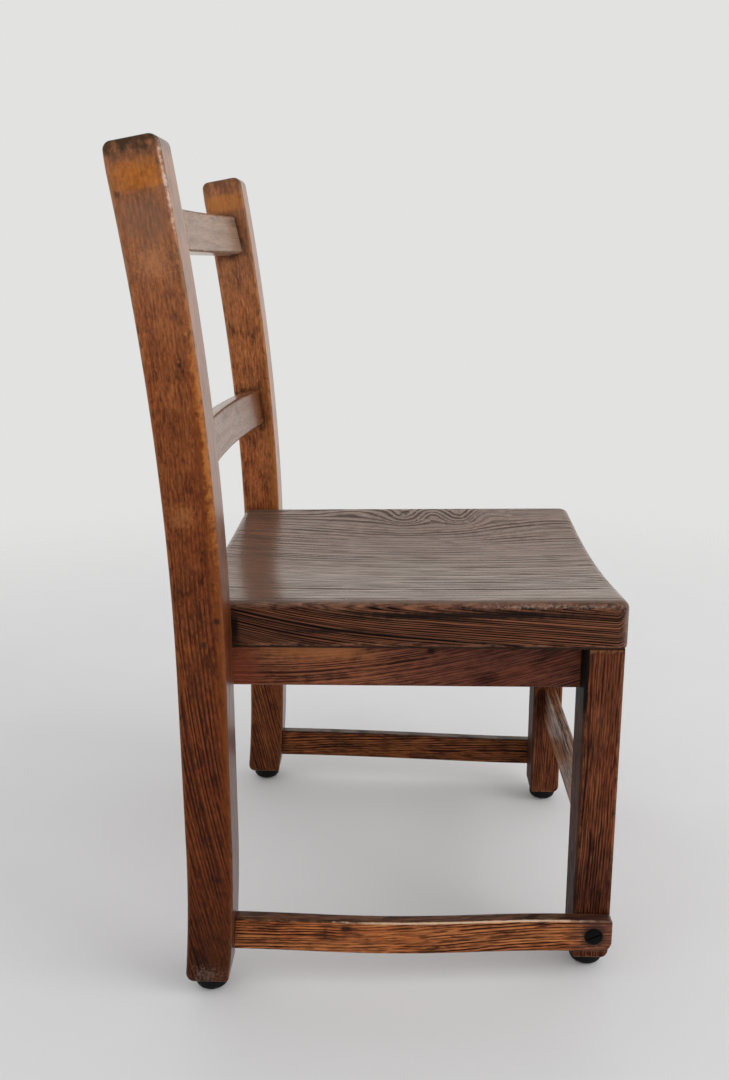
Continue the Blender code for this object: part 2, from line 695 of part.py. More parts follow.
def make_leg(side):
    """One front leg, with mortises for the aprons and the front stretcher."""
    bm = bmesh.new()
    x_range = sorted((SIDES[side] * LEG_INNER, SIDES[side] * LEG_OUTER))
    low = Vector((x_range[0], LEG_FRONT, WOOD_BOTTOM))
    high = Vector((x_range[1], LEG_REAR, FRAME_TOP))
    add_box(bm, low, high)
    for edge_y, radius, segments in ((LEG_FRONT, LEG_TOE, 4), (LEG_REAR, LEG_EASE, 2)):
        toe = [
            edge for edge in corner_edges(bm, low, high, 0)
            if edge.verts[0].co.z < SEAT_BOTTOM / 2 and abs(edge.verts[0].co.y - edge_y) < 1e-6
        ]
        round_edges(bm, toe, radius, segments)
    bm.normal_update()
    outline = {
        edge for face in bm.faces if abs(face.normal.x) > 0.99 for edge in face.edges
        if not all(abs(vert.co.z - FRAME_TOP) < 1e-6 for vert in edge.verts)
    }
    round_edges(bm, outline, LEG_EASE)
    leg = add_piece("front_leg_" + side, bm, "leg_wood")
    holes = bmesh.new()
    half = LEG_INNER - FIT
    add_mortise(holes, front_apron_place(), SIDES[side], half, APRON_THICKNESS, APRON_HEIGHT, APRON_SHOULDER,
                CROSS_APRON_TENON)
    add_mortise(holes, front_stretcher_place(), SIDES[side], half, FRONT_STRETCHER_THICKNESS,
                FRONT_STRETCHER_HEIGHT, FRONT_STRETCHER_SHOULDER, FRONT_STRETCHER_TENON)
    add_mortise(holes, side_apron_place(side), -1, side_apron_half(), APRON_THICKNESS, APRON_HEIGHT,
                APRON_SHOULDER, APRON_TENON)
    add_turned(holes, stretcher_screw_hole(), SCREW_SIDES, stretcher_screw_place(side))
    add_foot_screw_hole(holes, SIDES[side] * LEG_X, LEG_Y)
    cut(leg, holes)


def foot_centre(end):
    """How far back the middle of a front or rear foot stands."""
    return LEG_Y if end == "front" else post_centre(WOOD_BOTTOM) - REAR_FOOT_FORWARD


def foot_screw_level():
    """Height of the underside of a foot screw's head."""
    return FOOT_HEAD_RECESS - FIT


def add_foot_screw_hole(bm, x, y):
    """Add the cutter for a foot screw's hole in the wood above it."""
    tip = foot_screw_level() + FOOT_SCREW_LENGTH + MORTISE_RELIEF
    hole = pin_profile(FOOT_SCREW_RADIUS + FIT, tip, WOOD_BOTTOM - OVERCUT)
    add_turned(bm, hole, SCREW_SIDES, Matrix.Translation((x, y, 0)))


def make_feet():
    """The four rubber feet and the screws that hold them."""
    hole = FOOT_SCREW_RADIUS + FIT
    recess = FOOT_SCREW_HEAD + FIT
    curve = [step / DOME_STEPS * math.pi / 2 for step in range(DOME_STEPS + 1)]
    rounded = [
        (FOOT_RADIUS - FOOT_DOME_WIDTH * (1 - math.cos(turn)), FOOT_DOME_HEIGHT * (1 - math.sin(turn)))
        for turn in curve
    ]
    profile = [(hole, FOOT_HEIGHT), (FOOT_RADIUS, FOOT_HEIGHT)] + rounded + [
        (recess, 0.0), (recess, FOOT_HEAD_RECESS), (hole, FOOT_HEAD_RECESS)]
    screw = slotted_mesh("foot_screw", round_head_screw(
        FOOT_SCREW_RADIUS, FOOT_SCREW_HEAD, FOOT_SCREW_HEAD_HEIGHT, FOOT_SCREW_LENGTH), FOOT_SCREW_HEAD_HEIGHT)
    upside_down = Matrix.Rotation(math.pi, 4, "X")
    for end, across in (("front", LEG_X), ("rear", POST_X)):
        for side, sign in SIDES.items():
            name = end + "_" + side
            place = Matrix.Translation((sign * across, foot_centre(end), 0))
            add_piece("foot_" + name, turned(profile, FOOT_SIDES), "black_rubber", place)
            level = Matrix.Translation((0, 0, foot_screw_level()))
            add_object("foot_screw_" + name, screw, place @ level @ upside_down)


def make_stretcher_screws():
    """The dark screws through the lapped ends of the side stretchers."""
    screw = slotted_mesh("stretcher_screw", sunk_screw(
        STRETCHER_SCREW_RADIUS, STRETCHER_SCREW_HEAD, STRETCHER_SCREW_SINK, STRETCHER_SCREW_DOME,
        STRETCHER_SCREW_LENGTH), STRETCHER_SCREW_DOME)
    turn = Matrix.Rotation(STRETCHER_SCREW_TURN, 4, "Z")
    for side in SIDES:
        add_object("stretcher_screw_" + side, screw, stretcher_screw_place(side) @ turn)


def block_places():
    """Outline, base height and screw place of each corner block."""
    inner = SIDE_APRON_X - APRON_THICKNESS / 2 - FIT
    fronts = {
        "front": (FRONT_APRON_Y + APRON_THICKNESS / 2 + FIT, 1),
        "rear": (REAR_APRON_Y - APRON_THICKNESS / 2 - FIT, -1),
    }
    leg_reach = max(0.0, LEG_REAR - fronts["front"][0]) + max(0.0, inner - LEG_INNER)
    clip = BLOCK_CLIP + leg_reach
    places = {}
    for end, (wall, inward) in fronts.items():
        for side, sign in SIDES.items():
            corners = ((clip, 0), (BLOCK_SIZE, 0), (0, BLOCK_SIZE), (0, clip))
            outline = [(sign * (inner - across), wall + inward * along) for across, along in corners]
            middle = (sum(x for x, y in outline) / len(outline), sum(y for x, y in outline) / len(outline))
            places[end + "_" + side] = {
                "outline": outline, "base": FRAME_TOP - BLOCK_HEIGHT, "screw": middle}
    return places


def make_corner_blocks():
    """The glued blocks in the corners of the seat frame and the screws up into the seat."""
    screw = slotted_mesh("seat_screw", round_head_screw(
        SEAT_SCREW_RADIUS, SEAT_SCREW_HEAD, SEAT_SCREW_HEAD_HEIGHT, SEAT_SCREW_LENGTH), SEAT_SCREW_HEAD_HEIGHT)
    upside_down = Matrix.Rotation(math.pi, 4, "X")
    for name, place in block_places().items():
        bm = bmesh.new()
        face = bm.faces.new([bm.verts.new((x, y, place["base"])) for x, y in place["outline"]])
        grown = bmesh.ops.extrude_face_region(bm, geom=[face])["geom"]
        top = [item for item in grown if isinstance(item, bmesh.types.BMVert)]
        bmesh.ops.translate(bm, verts=top, vec=(0, 0, BLOCK_HEIGHT))
        block = add_piece("corner_block_" + name, bm, "block_wood")
        hole = pin_profile(SEAT_SCREW_RADIUS + FIT, FRAME_TOP + OVERCUT, place["base"] - OVERCUT)
        cut(block, turned(hole, SCREW_SIDES, Matrix.Translation((*place["screw"], 0))))
        level = Matrix.Translation((*place["screw"], place["base"] - FIT))
        add_object("seat_screw_" + name, screw, level @ upside_down)


def centre_on_floor(chair):
    """Move the chair so that the middle of its overall depth lies at the origin."""
    bpy.context.view_layer.update()
    reach = [
        (piece.matrix_world @ vert.co).y
        for piece in chair.children if not piece.hide_render
        for vert in piece.data.vertices
    ]
    chair.location.y = -(min(reach) + max(reach)) / 2


def build_chair():
    """Make every piece of the chair."""
    for thing in list(bpy.data.objects):
        bpy.data.objects.remove(thing, do_unlink=True)
    chair = bpy.data.objects.new("chair", None)
    bpy.context.scene.collection.objects.link(chair)
    for finish in FINISHES:
        make_finish(finish)
    make_seat()
    for side in SIDES:
        make_post("back_post_" + side, side)
        make_leg(side)
        make_side_stretcher(side)
    for name, rail in back_rails().items():
        make_back_rail(name, rail)
    make_aprons()
    make_front_stretcher()
    make_feet()
    make_stretcher_screws()
    make_corner_blocks()
    centre_on_floor(chair)


build_chair()
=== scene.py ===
"""Dresses a child's wooden chair: swept posts, bowed rails, hollowed seat, worn timber and rubber feet."""

import math

import bmesh
import bpy
from bpy.props import FloatProperty, FloatVectorProperty, PointerProperty
from mathutils import Matrix, Vector, noise


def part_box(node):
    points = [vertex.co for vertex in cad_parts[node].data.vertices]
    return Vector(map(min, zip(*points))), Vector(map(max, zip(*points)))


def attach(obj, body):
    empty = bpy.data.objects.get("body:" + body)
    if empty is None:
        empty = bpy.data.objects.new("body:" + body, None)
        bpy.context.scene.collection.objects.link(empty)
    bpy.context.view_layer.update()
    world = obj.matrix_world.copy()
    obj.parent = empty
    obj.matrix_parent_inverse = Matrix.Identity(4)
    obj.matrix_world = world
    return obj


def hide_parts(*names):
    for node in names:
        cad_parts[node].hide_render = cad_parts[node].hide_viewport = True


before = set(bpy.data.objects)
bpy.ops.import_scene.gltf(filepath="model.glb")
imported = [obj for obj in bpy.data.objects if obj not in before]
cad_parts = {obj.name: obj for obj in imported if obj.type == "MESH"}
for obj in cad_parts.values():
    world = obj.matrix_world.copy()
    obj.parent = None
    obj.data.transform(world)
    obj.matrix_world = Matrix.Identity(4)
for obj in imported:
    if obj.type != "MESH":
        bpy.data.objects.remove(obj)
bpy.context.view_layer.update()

bl_info = {
    "name": "Child's chair",
    "version": (1, 0, 0),
    "blender": (4, 5, 0),
    "location": "3D View > Sidebar > Chair",
    "description": "Builds the timbers, fittings, finishes and studio of a child's wooden chair",
    "category": "Object",
}

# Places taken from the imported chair: y is measured back from the seat's front edge
SIDES = {"left": 1, "right": -1}
SEAT_LOW, SEAT_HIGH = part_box("seat")
POST_LOW, POST_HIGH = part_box("back_post_left")
LEG_LOW, LEG_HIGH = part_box("front_leg_left")
FRONT = SEAT_LOW.y
SEAT_HEIGHT = 0.303
SEAT_DEPTH = SEAT_HIGH.y - SEAT_LOW.y
SEAT_THICKNESS = SEAT_HEIGHT - SEAT_LOW.z
WOOD_BOTTOM = POST_LOW.z
FIT = 0.0003

# Seat board
SEAT_FALL = 0.0025
SEAT_RIM = 0.008
HOLLOW_STEEPNESS = 1.25
HOLLOW_FRONT = 0.009
HOLLOW_MIDDLE = 0.011
HOLLOW_REAR = 0.004
SEAT_FRONT_CORNER = 0.010
SEAT_FRONT_SEGMENTS = 8
SEAT_REAR_CORNER = 0.003
SEAT_REAR_SEGMENTS = 4
SEAT_TOP_EASE = 0.0065
SEAT_TOP_SEGMENTS = 6
SEAT_BOTTOM_EASE = 0.002
SEAT_BOTTOM_SEGMENTS = 3
SEAT_SLICES_ACROSS = 36
SEAT_SLICES_ALONG = 56
SEAT_HEART = (0.45, -0.60, 0.33)
SEAT_GRAIN_STRETCH = 0.45
SIDE_FIGURE_SLOPE = 0.24
SIDE_FIGURE_CURVE = 2.6
SIDE_FIGURE_SPREAD = -2.2
SEAT_KNOTS = (
    {"at": (0.132, 0.001), "size": (0.026, 0.014), "rise": -0.0105},
    {"at": (0.136, -0.026), "size": (0.022, 0.012), "rise": 0.0070},
    {"at": (0.130, -0.053), "size": (0.026, 0.013), "rise": -0.0110},
    {"at": (0.136, -0.082), "size": (0.026, 0.018), "rise": 0.0088},
    {"at": (0.142, 0.050), "size": (0.018, 0.032), "rise": 0.0060},
    {"at": (0.095, -0.005), "size": (0.045, 0.075), "rise": -0.0090},
    {"at": (0.110, -0.140), "size": (0.055, 0.060), "rise": 0.0100},
)

# Back posts; here and below, a heart is the middle of the tree that a timber is cut from
BACK_HEIGHT = 0.614
POST_FOOT_DEPTH = 0.0334
POST_TOP_DEPTH = 0.0370
POST_PROUD = 0.0012
POST_EASE = 0.0025
POST_TOP_FRONT_ROUND = 0.0065
POST_TOP_REAR_ROUND = 0.005
POST_TOP_WEAR = 0.0015
POST_TOP_WEAR_HEIGHT = 0.022
POST_FOOT_CHAMFER = 0.002
POST_HEEL_ROUND = 0.007
POST_TOP_FRONT_SEGMENTS = 8
POST_TOP_REAR_SEGMENTS = 6
POST_HEEL_SEGMENTS = 8
POST_SLICES = 96
BACK_SWEEP_START = 0.250
BACK_SWEEP_RADIUS = 2.15
FOOT_SWEEP_HEIGHT = 0.125
FOOT_SWEEP_RADIUS = 1.15
FOOT_TAPER = 0.001
FOOT_TAPER_TOP = 0.0287
POST_LEAN = (0.0, 0.02)
POST_HEARTS = {"left": (0.08, 0.31, 0.71), "right": (0.10, 0.33, 0.22)}
POST_SEEDS = {"left": 1.0, "right": 4.0}
POST_RUN_OUT_START = 0.02
POST_RUN_OUT = 0.55
POST_FIGURE_FADE = 0.75

# Back rails
RAIL_THICKNESS = 0.0155
RAIL_HEIGHT = 0.0345
RAIL_SETBACK = 0.0105
RAIL_LEAN = 0.07
RAIL_EASE = 0.0025
RAIL_SLICES = 48
RAIL_HEART = (0.12, 0.02)
# Each rail's shade is painted light over the whole rail: the upper rail is brightened and blued as a painted
# sheen, and the lower is darkened as painted shade
RAILS = {
    "upper": {"node": "upper_back_rail", "level": 0.56325, "bow": 0.020, "shade": (1.28, 1.50, 1.85)},
    "lower": {"node": "lower_back_rail", "level": 0.40155, "bow": 0.010, "shade": (0.74, 0.52, 0.38)},
}

# Front legs, aprons and stretchers
LEG_EASE = 0.0025
LEG_TOE = 0.006
LEG_TOE_SEGMENTS = 8
LEG_HEEL_SEGMENTS = 2
LEG_SLICES = 40
LEG_LEAN = (0.0, 0.025)
LEG_HEARTS = {"left": (0.05, -0.24, 0.4), "right": (0.06, -0.26, 0.9)}
LEG_SEEDS = {"left": 2.0, "right": 7.0}
APRON_EASE = 0.0015
APRON_SLICES = 36
APRON_LEAN = (0.01, 0.17)
APRON_FIGURE_CURVE = -0.7
APRONS = (
    {"node": "side_apron_left", "along": 1, "tenon": 0.010, "heart": (-0.02, -0.16, 0.2), "seed": 0.0},
    {"node": "side_apron_right", "along": 1, "tenon": 0.010, "heart": (0.02, -0.16, 0.6), "seed": 2.0},
    {"node": "front_apron", "along": 0, "tenon": 0.018, "heart": (0.02, -0.18, 0.3), "seed": 4.0},
    {"node": "rear_apron", "along": 0, "tenon": 0.018, "heart": (-0.02, -0.14, 0.8), "seed": 6.0},
)
FRONT_STRETCHER_TENON = 0.016
FRONT_STRETCHER_HEART = (-0.09, 0.03, 0.5)
FRONT_STRETCHER_SEED = 4.0
FRONT_STRETCHER_EASE = 0.002
STRETCHER_LEAN = (0.0, 0.045)
SIDE_STRETCHER_BOTTOM = 0.0255
SIDE_STRETCHER_RISE = 0.0035
SIDE_STRETCHER_HEIGHT = 0.0272
SIDE_STRETCHER_THICKNESS = 0.011
SIDE_STRETCHER_SET_IN = 0.0065
SIDE_STRETCHER_EASE = 0.002
SIDE_STRETCHER_TOE = 0.008
SIDE_STRETCHER_NOSE = 0.003
SIDE_STRETCHER_END_SEGMENTS = 8
SIDE_STRETCHER_SLICES = 60
SIDE_STRETCHER_BOW = {"left": 0.001, "right": 0.005}
SIDE_STRETCHER_HEARTS = {"left": (-0.04, 0.24, 0.1), "right": (-0.05, 0.22, 0.7)}
SIDE_STRETCHER_SEEDS = {"left": 3.0, "right": 10.0}

# Rubber feet and stretcher screws
FOOT_RADIUS = 0.0128
FOOT_HEIGHT = 0.012
FOOT_DOME_WIDTH = 0.0073
FOOT_DOME_HEIGHT = 0.0055
FOOT_RECESS_RADIUS = 0.0033
FOOT_RECESS_DEPTH = 0.006
FOOT_HOLE_RADIUS = 0.00205
FOOT_LIP = 0.0008
FOOT_SIDES = 72
FOOT_STEPS = 12
FOOT_LIP_STEPS = 4
SCREW_HEAD_RADIUS = 0.007
SCREW_SHANK_RADIUS = 0.0025
SCREW_SINK = 0.0045
SCREW_DOME = 0.0008
SCREW_LENGTH = 0.032
SCREW_TIP = 0.004
SCREW_SLOT_WIDTH = 0.0013
SCREW_SLOT_REACH = 0.0064
SCREW_SLOT_FLOOR = 0.0001
SCREW_SLOT_TURN = math.radians(-65)
SCREW_SIDES = 48
SCREW_STEPS = 6

# Camera and studio
CAMERA_PLACE = (-0.89266, -0.012919, 0.53612)
CAMERA_TURN = tuple(math.radians(angle) for angle in (75.6949, 0.2159, -88.1357))
CAMERA_LENS = 35.886
CAMERA_SENSOR = 36.0
FLOOR_RADIUS = 3.0
FLOOR_SIDES = 96
FLOOR_MOTTLE = 9.0
FLOOR_DROP = 0.0002
FLOOR_FADE = (0.7, 1.7)
LAMP_PLACE = (-1.0, -2.1, 1.5)
LAMP_TARGET = (0.0, 0.0, 0.30)
LAMP_SIZE = 1.6
LOW_LIGHT = 1.9
HIGH_LIGHT = 0.35
DIM_SIDE_REACH = (-0.5, 0.35)
ROOM_LOW = (1.22, 1.18, 1.12)
ROOM_HIGH = (1.04, 0.99, 0.92)
ROOM_RISE = (0.05, 0.40)

# Rounded edges and shading
EDGE_SEGMENTS = 5
EDGE_RUB = 0.0005
EDGE_RIPPLE = 32.0
SMOOTH_ANGLE = math.radians(38)
TOUCH = 1e-6
SQUARE = 0.99

# Half length of a board whose ends are hidden, so that no edge wear shows there
NO_END = 10.0

# Figure of every timber: the fineness of its noises across, through and along the grain
STRAY_SCALE = (16.0, 16.0, 5.0)
RIPPLE_SCALE = (90.0, 90.0, 30.0)
BREAK_SCALE = (120.0, 120.0, 45.0)
BREAK_GROUP_SCALE = (26.0, 26.0, 7.0)
DRIFT_SCALE = (40.0, 40.0, 11.0)
PORE_SCALE = (900.0, 900.0, 55.0)
RUB_SCALE = (260.0, 260.0, 70.0)
GRIME_SCALE = (340.0, 340.0, 110.0)
MOTTLE_FINENESS = 90.0
FLECK_FINENESS = 620.0
FLECK_LIMITS = (0.50, 0.66)
MARK_GRIT = 180.0
WOOD_RELIEF = {"Strength": 0.30, "Distance": 0.0006}
WOOD_SPECULAR = 0.06
RUDDY = (1.0, 0.80, 0.66)
SIDE_FACE_DEPTH = 0.0022
SIDE_FIGURE_BOOST = 0.40
FIGURE_FADE_REACH = (-0.10, 0.06)

# Small parts: the fineness of their noises, and the rust of the screws
FIBRE_SCALE = (420.0, 420.0, 22.0)
BAND_SCALE = (90.0, 90.0, 4.0)
RUBBER_GRIT = 1600.0
RUBBER_DUST = 120.0
TARNISH_FINENESS = 700.0
SCRATCH_SCALE = (300.0, 2600.0, 2600.0)
RUST = (0.022, 0.014, 0.010)


def mark(at, size, core, ragged, strength, tone, blend="MIX", grit=MARK_GRIT, matt=0.0):
    """A stained or rubbed patch, painted shade or painted highlight: solid in its core, ragged out to its
    size, with some strength of a tone.

    Grit is how fine the ragged edge is, and matt is how far the mark takes off the polish.
    """
    return {"at": at, "size": size, "core": core, "ragged": ragged, "strength": strength, "tone": tone,
            "blend": blend, "grit": grit, "matt": matt}


def painted_light_tint(tone):
    """A painted shade or painted sheen laid over the whole of a timber."""
    return mark((0.0, 0.0, 0.0), (1.0, 1.0, 1.0), 0.5, 0.0, 1.0, tone, "MULTIPLY")


# Stains, rubbed patches, painted shade, painted highlights and dents, by place across, through and along the
# straight timber
POST_MARKS = (
    mark((0.0, 0.0, 0.3), (1.0, 1.0, 0.17), 0.2, 0.5, 0.35, (0.21, 0.112, 0.066)),
    mark((-0.0178, -0.0167, -0.06), (0.0095, 0.0095, 0.28), 0.1, 1.6, 0.65, (0.3, 0.1, 0.02)),
)
RIGHT_POST_MARKS = (
    # Darker towards the foot: partly dirt, partly painted shade where the light falls off near the floor
    mark((0.0, 0.0, -0.32), (1.0, 1.0, 0.7), 0.0, 0.1, 1.0, (0.48, 0.355, 0.255), "MULTIPLY"),
    mark((0.0, 0.0, -0.15), (1.0, 1.0, 0.4), 0.6, 0.2, 1.0, (0.75, 0.65, 0.52), "MULTIPLY"),
    mark((-0.0178, 0.0004, 0.2785), (0.02, 0.0162, 0.0108), 0.8, 0.8, 0.35, (0.36, 0.12, 0.016)),
    mark((-0.0178, -0.001, 0.277), (0.02, 0.015, 0.0095), 0.3, 1.6, 1.0,
         (1.28, 1.16, 0.68), "MULTIPLY", grit=260.0),
    mark((-0.0178, 0.0, 0.274), (0.02, 0.017, 0.016), -0.3, 4.0, 0.45,
         (0.55, 0.48, 0.36), "MULTIPLY", grit=420.0),
    mark((0.0, 0.0, 0.312), (0.06, 0.06, 0.026), 0.45, 1.2, 1.0, (0.048, 0.025, 0.013)),
    # Pale streak on the top of the outer-front arris: worn wood with a painted highlight
    mark((-0.0178, -0.0172, 0.272), (0.0028, 0.0028, 0.034), 0.2, 2.2, 0.65, (0.6, 0.44, 0.36), grit=300.0),
    mark((-0.0178, 0.0, 0.252), (0.02, 0.02, 0.02), 0.4, 1.2, 0.4, (0.15, 0.082, 0.054)),
    mark((-0.0178, 0.0, 0.226), (0.02, 0.016, 0.014), 0.0, 2.2, 0.3, (0.44, 0.205, 0.095), grit=600.0),
    mark((-0.0178, -0.015, 0.11), (0.004, 0.0036, 0.1), 0.0, 2.4, 0.55, (0.48, 0.165, 0.03), grit=260.0),
    mark((-0.0178, 0.004, 0.06), (0.02, 0.012, 0.011), 0.0, 2.0, 0.22, (0.48, 0.2, 0.065), grit=400.0),
    mark((-0.0178, -0.006, 0.16), (0.004, 0.0018, 0.0024), 0.2, 0.8, 0.8, (0.02, 0.009, 0.006)),
    mark((-0.0178, 0.0122, 0.2686), (0.004, 0.0024, 0.0026), 0.2, 1.0, 0.6, (0.04, 0.024, 0.014)),
    # The foot darker and browner still: partly dirt, partly painted shade near the floor
    mark((0.0, 0.0, -0.31), (1.0, 1.0, 0.12), 0.0, 0.3, 0.9, (0.55, 0.64, 0.68), "MULTIPLY"),
    mark((-0.0178, 0.0, -0.294), (0.02, 0.014, 0.008), -0.4, 4.5, 0.2, (0.36, 0.27, 0.22), grit=600.0),
    mark((-0.0178, -0.0125, -0.0143), (0.006, 0.003, 0.003), 0.3, 0.6, 0.85, (0.02, 0.008, 0.005)),
    mark((-0.0178, -0.003, -0.0311), (0.006, 0.003, 0.003), 0.3, 0.6, 0.7, (0.02, 0.008, 0.005)),
)
LEFT_POST_MARKS = (
    # Darker towards the foot: partly dirt, partly painted shade where the light falls off near the floor
    mark((0.0, 0.0, -0.32), (1.0, 1.0, 0.4), 0.0, 0.1, 1.0, (0.4, 0.34, 0.3), "MULTIPLY"),
    mark((-0.0178, 0.0, 0.28), (0.02, 0.02, 0.01), 0.5, 0.9, 0.45, (0.42, 0.15, 0.024)),
    mark((0.0, 0.0, 0.312), (0.06, 0.06, 0.024), 0.3, 1.2, 0.75, (0.072, 0.036, 0.019)),
    # Dark patches round the rails' joints on the inner face: grime, partly painted shadow under the rails
    mark((-0.0178, 0.003, 0.25), (0.005, 0.015, 0.025), 0.6, 0.5, 0.8, (0.02, 0.007, 0.003)),
    mark((-0.0178, 0.003, 0.088), (0.005, 0.015, 0.025), 0.6, 0.5, 0.7, (0.02, 0.007, 0.003)),
)
RIGHT_POST_DENTS = (
    {"at": (-0.0178, -0.0167, 0.285), "size": 0.011, "depth": 0.0016},
)
SEAT_MARKS = (
    # Dark line along the bottom of the seat's near side: painted shadow between seat and apron
    mark((-0.157, -0.0175, 0.0), (0.006, 0.0026, 1.0), 0.5, 0.7, 0.85, (0.01, 0.005, 0.003), matt=1.0),
    # Black strip at the rear end of the seat's near side: painted shadow in the gap by the post
    mark((-0.157, -0.002, 0.125), (0.006, 0.019, 0.0052), 0.2, 0.8, 0.9, (0.006, 0.003, 0.002), matt=1.0),
    mark((0.134, 0.018, 0.0045), (0.004, 0.01, 0.0016), 0.3, 0.6, 0.9, (0.006, 0.003, 0.002), matt=1.0),
    mark((0.1345, 0.018, -0.0005), (0.004, 0.01, 0.0016), 0.3, 0.6, 0.9, (0.006, 0.003, 0.002), matt=1.0),
    # Seat top and top arrises lightened: painted sheen, with pale wear on the arrises
    mark((0.0, 0.0215, 0.0), (1.0, 0.006, 1.0), 0.3, 0.3, 0.42, (0.3, 0.2, 0.15)),
    mark((-0.157, 0.0085, -0.045), (0.01, 0.0038, 0.12), 0.3, 1.0, 0.9, (0.008, 0.004, 0.003)),
    mark((-0.157, -0.004, 0.06), (0.01, 0.0024, 0.04), 0.2, 1.2, 0.8, (0.008, 0.004, 0.003)),
    mark((-0.152, 0.004, -0.163), (0.012, 0.013, 0.007), 0.3, 0.8, 0.5, (0.3, 0.14, 0.07)),
    # Pale specks along the front half of the seat's near top arris: painted highlights on worn chips
    mark((-0.157, 0.016, -0.1), (0.003, 0.0032, 0.07), -0.3, 3.0, 0.4, (0.42, 0.33, 0.28), grit=500.0),
)
LEG_MARKS = (
    # Legs' rear faces darkened and dulled: painted shade, with some old dirt
    mark((0.0, 0.014, 0.0), (1.0, 0.0022, 1.0), 0.4, 0.6, 0.75, (0.03, 0.013, 0.008), matt=1.3),
    # Black at the top of the legs' rear faces: painted shadow in the gap beside the aprons
    mark((0.0, 0.014, 0.115), (1.0, 0.003, 0.045), 0.7, 0.3, 0.95, (0.004, 0.003, 0.003), matt=1.0),
)
RIGHT_LEG_MARKS = (
    mark((0.0, 0.0, -0.068), (1.0, 1.0, 0.05), 0.0, 0.4, 0.8, (0.48, 0.42, 0.5), "MULTIPLY"),
)
RIGHT_APRON_MARKS = (
    mark((-0.01, 0.0, 0.125), (0.02, 0.03, 0.024), 0.2, 0.8, 0.55, (0.23, 0.052, 0.026)),
    mark((-0.01, 0.01, 0.065), (0.02, 0.01, 0.06), 0.2, 0.9, 0.55, (0.42, 0.155, 0.055)),
    mark((-0.01, 0.0, -0.08), (0.05, 0.05, 0.13), 0.3, 0.4, 0.9, (0.45, 0.38, 0.48), "MULTIPLY"),
    mark((-0.01, 0.012, -0.02), (0.02, 0.006, 0.004), 0.3, 0.6, 0.9, (0.012, 0.004, 0.003)),
)
STRETCHER_MARKS = (
    mark((0.0, 0.0136, 0.0), (1.0, 0.0018, 1.0), 0.3, 0.6, 0.7, (0.03, 0.012, 0.007)),
)
# Front stretcher greyed and dimmed all over: painted shade and painted sheen
FRONT_STRETCHER_PAINTED_SHADE_AND_SHEEN = (painted_light_tint((0.62, 0.7, 0.78)),)
FRONT_STRETCHER_GLOSS = 0.8
# Far stretcher darkened all over: painted shade
LEFT_STRETCHER_PAINTED_SHADE = (painted_light_tint((0.52, 0.48, 0.46)),)
RIGHT_STRETCHER_MARKS = (
    mark((0.0055, 0.008, 0.059), (0.01, 0.0035, 0.006), 0.3, 0.5, 0.9, (0.02, 0.01, 0.006)),
    mark((0.0055, 0.003, 0.075), (0.01, 0.007, 0.0025), 0.2, 0.9, 0.7, (0.04, 0.016, 0.008)),
    # Pale line along the top outer arris: a painted highlight
    mark((0.0052, 0.0132, -0.035), (0.0012, 0.0012, 0.115), 0.5, 0.9, 0.8, (0.7, 0.48, 0.33)),
    mark((0.0055, 0.0, -0.138), (0.02, 0.03, 0.032), 0.25, 0.8, 0.65, (0.072, 0.029, 0.025)),
)
SCREW_STAIN = ((0.004, 0.0105, 0.0105), 0.55, 0.6, 0.85, (0.035, 0.016, 0.010))


def colour(name, description, default):
    """A colour that the user may change."""
    return FloatVectorProperty(name=name, description=description, default=default, subtype="COLOR",
                               size=3, min=0.0, max=1.0)


def share(name, description, default):
    """A strength from nothing to full that the user may change."""
    return FloatProperty(name=name, description=description, default=default, min=0.0, max=1.0,
                         subtype="FACTOR")


def length(name, description, default):
    """A small length that the user may change."""
    return FloatProperty(name=name, description=description, default=default, min=0.0, soft_max=0.05,
                         unit="LENGTH", precision=4)


def wood_look(pieces, deep, middle, light, worn, ring, wander, figure, pores, flecks, roughness, gloss,
              side_gloss, wear, mottle, patch, fleck_run, open_grain):
    """The colours, strengths and lengths that make up the look of one kind of timber."""
    return {
        "deep": colour("Deep tone", "Darkest streaks of the " + pieces, deep),
        "middle": colour("Middle tone", "Main colour of the " + pieces, middle),
        "light": colour("Light tone", "Palest patches of the " + pieces, light),
        "worn": colour("Worn tone", "Rubbed edges of the " + pieces, worn),
        "ring": length("Ring spacing", "Distance between growth rings", ring),
        "wander": length("Wander", "How far the figure strays from straight", wander),
        "figure": share("Figure", "How strongly the growth rings show", figure),
        "pores": share("Pores", "How strongly the open pores show", pores),
        "flecks": share("Flecks", "How strongly the fine flecks show", flecks),
        "roughness": share("Roughness", "Dullness of the polish", roughness),
        "gloss": share("Gloss", "Strength of the polish", gloss),
        "side_gloss": share("Side gloss", "Share of the polish left on the two sides", side_gloss),
        "wear": length("Edge wear", "Width of the rubbed edges", wear),
        "mottle": share("Mottle", "How strongly the cloudy patches show", mottle),
        "patch": length("Patch length", "Length of the cloudy patches along the grain", patch),
        "fleck_run": length("Fleck length", "Length of the fine flecks along the grain", fleck_run),
        "open_grain": share("Open grain", "How far pores and rings break the polish", open_grain),
    }


class PostWood(bpy.types.PropertyGroup):
    """Finish of the back posts."""
    __annotations__ = wood_look(
        "posts", deep=(0.05, 0.0135, 0.005), middle=(0.258, 0.079, 0.0245), light=(0.425, 0.155, 0.0505),
        worn=(0.42, 0.17, 0.054), ring=0.0026, wander=0.0026, figure=0.68, pores=0.3, flecks=0.5,
        roughness=0.3, gloss=0.95, side_gloss=0.1, wear=0.0035, mottle=0.82, patch=0.02, fleck_run=0.006,
        open_grain=0.35)


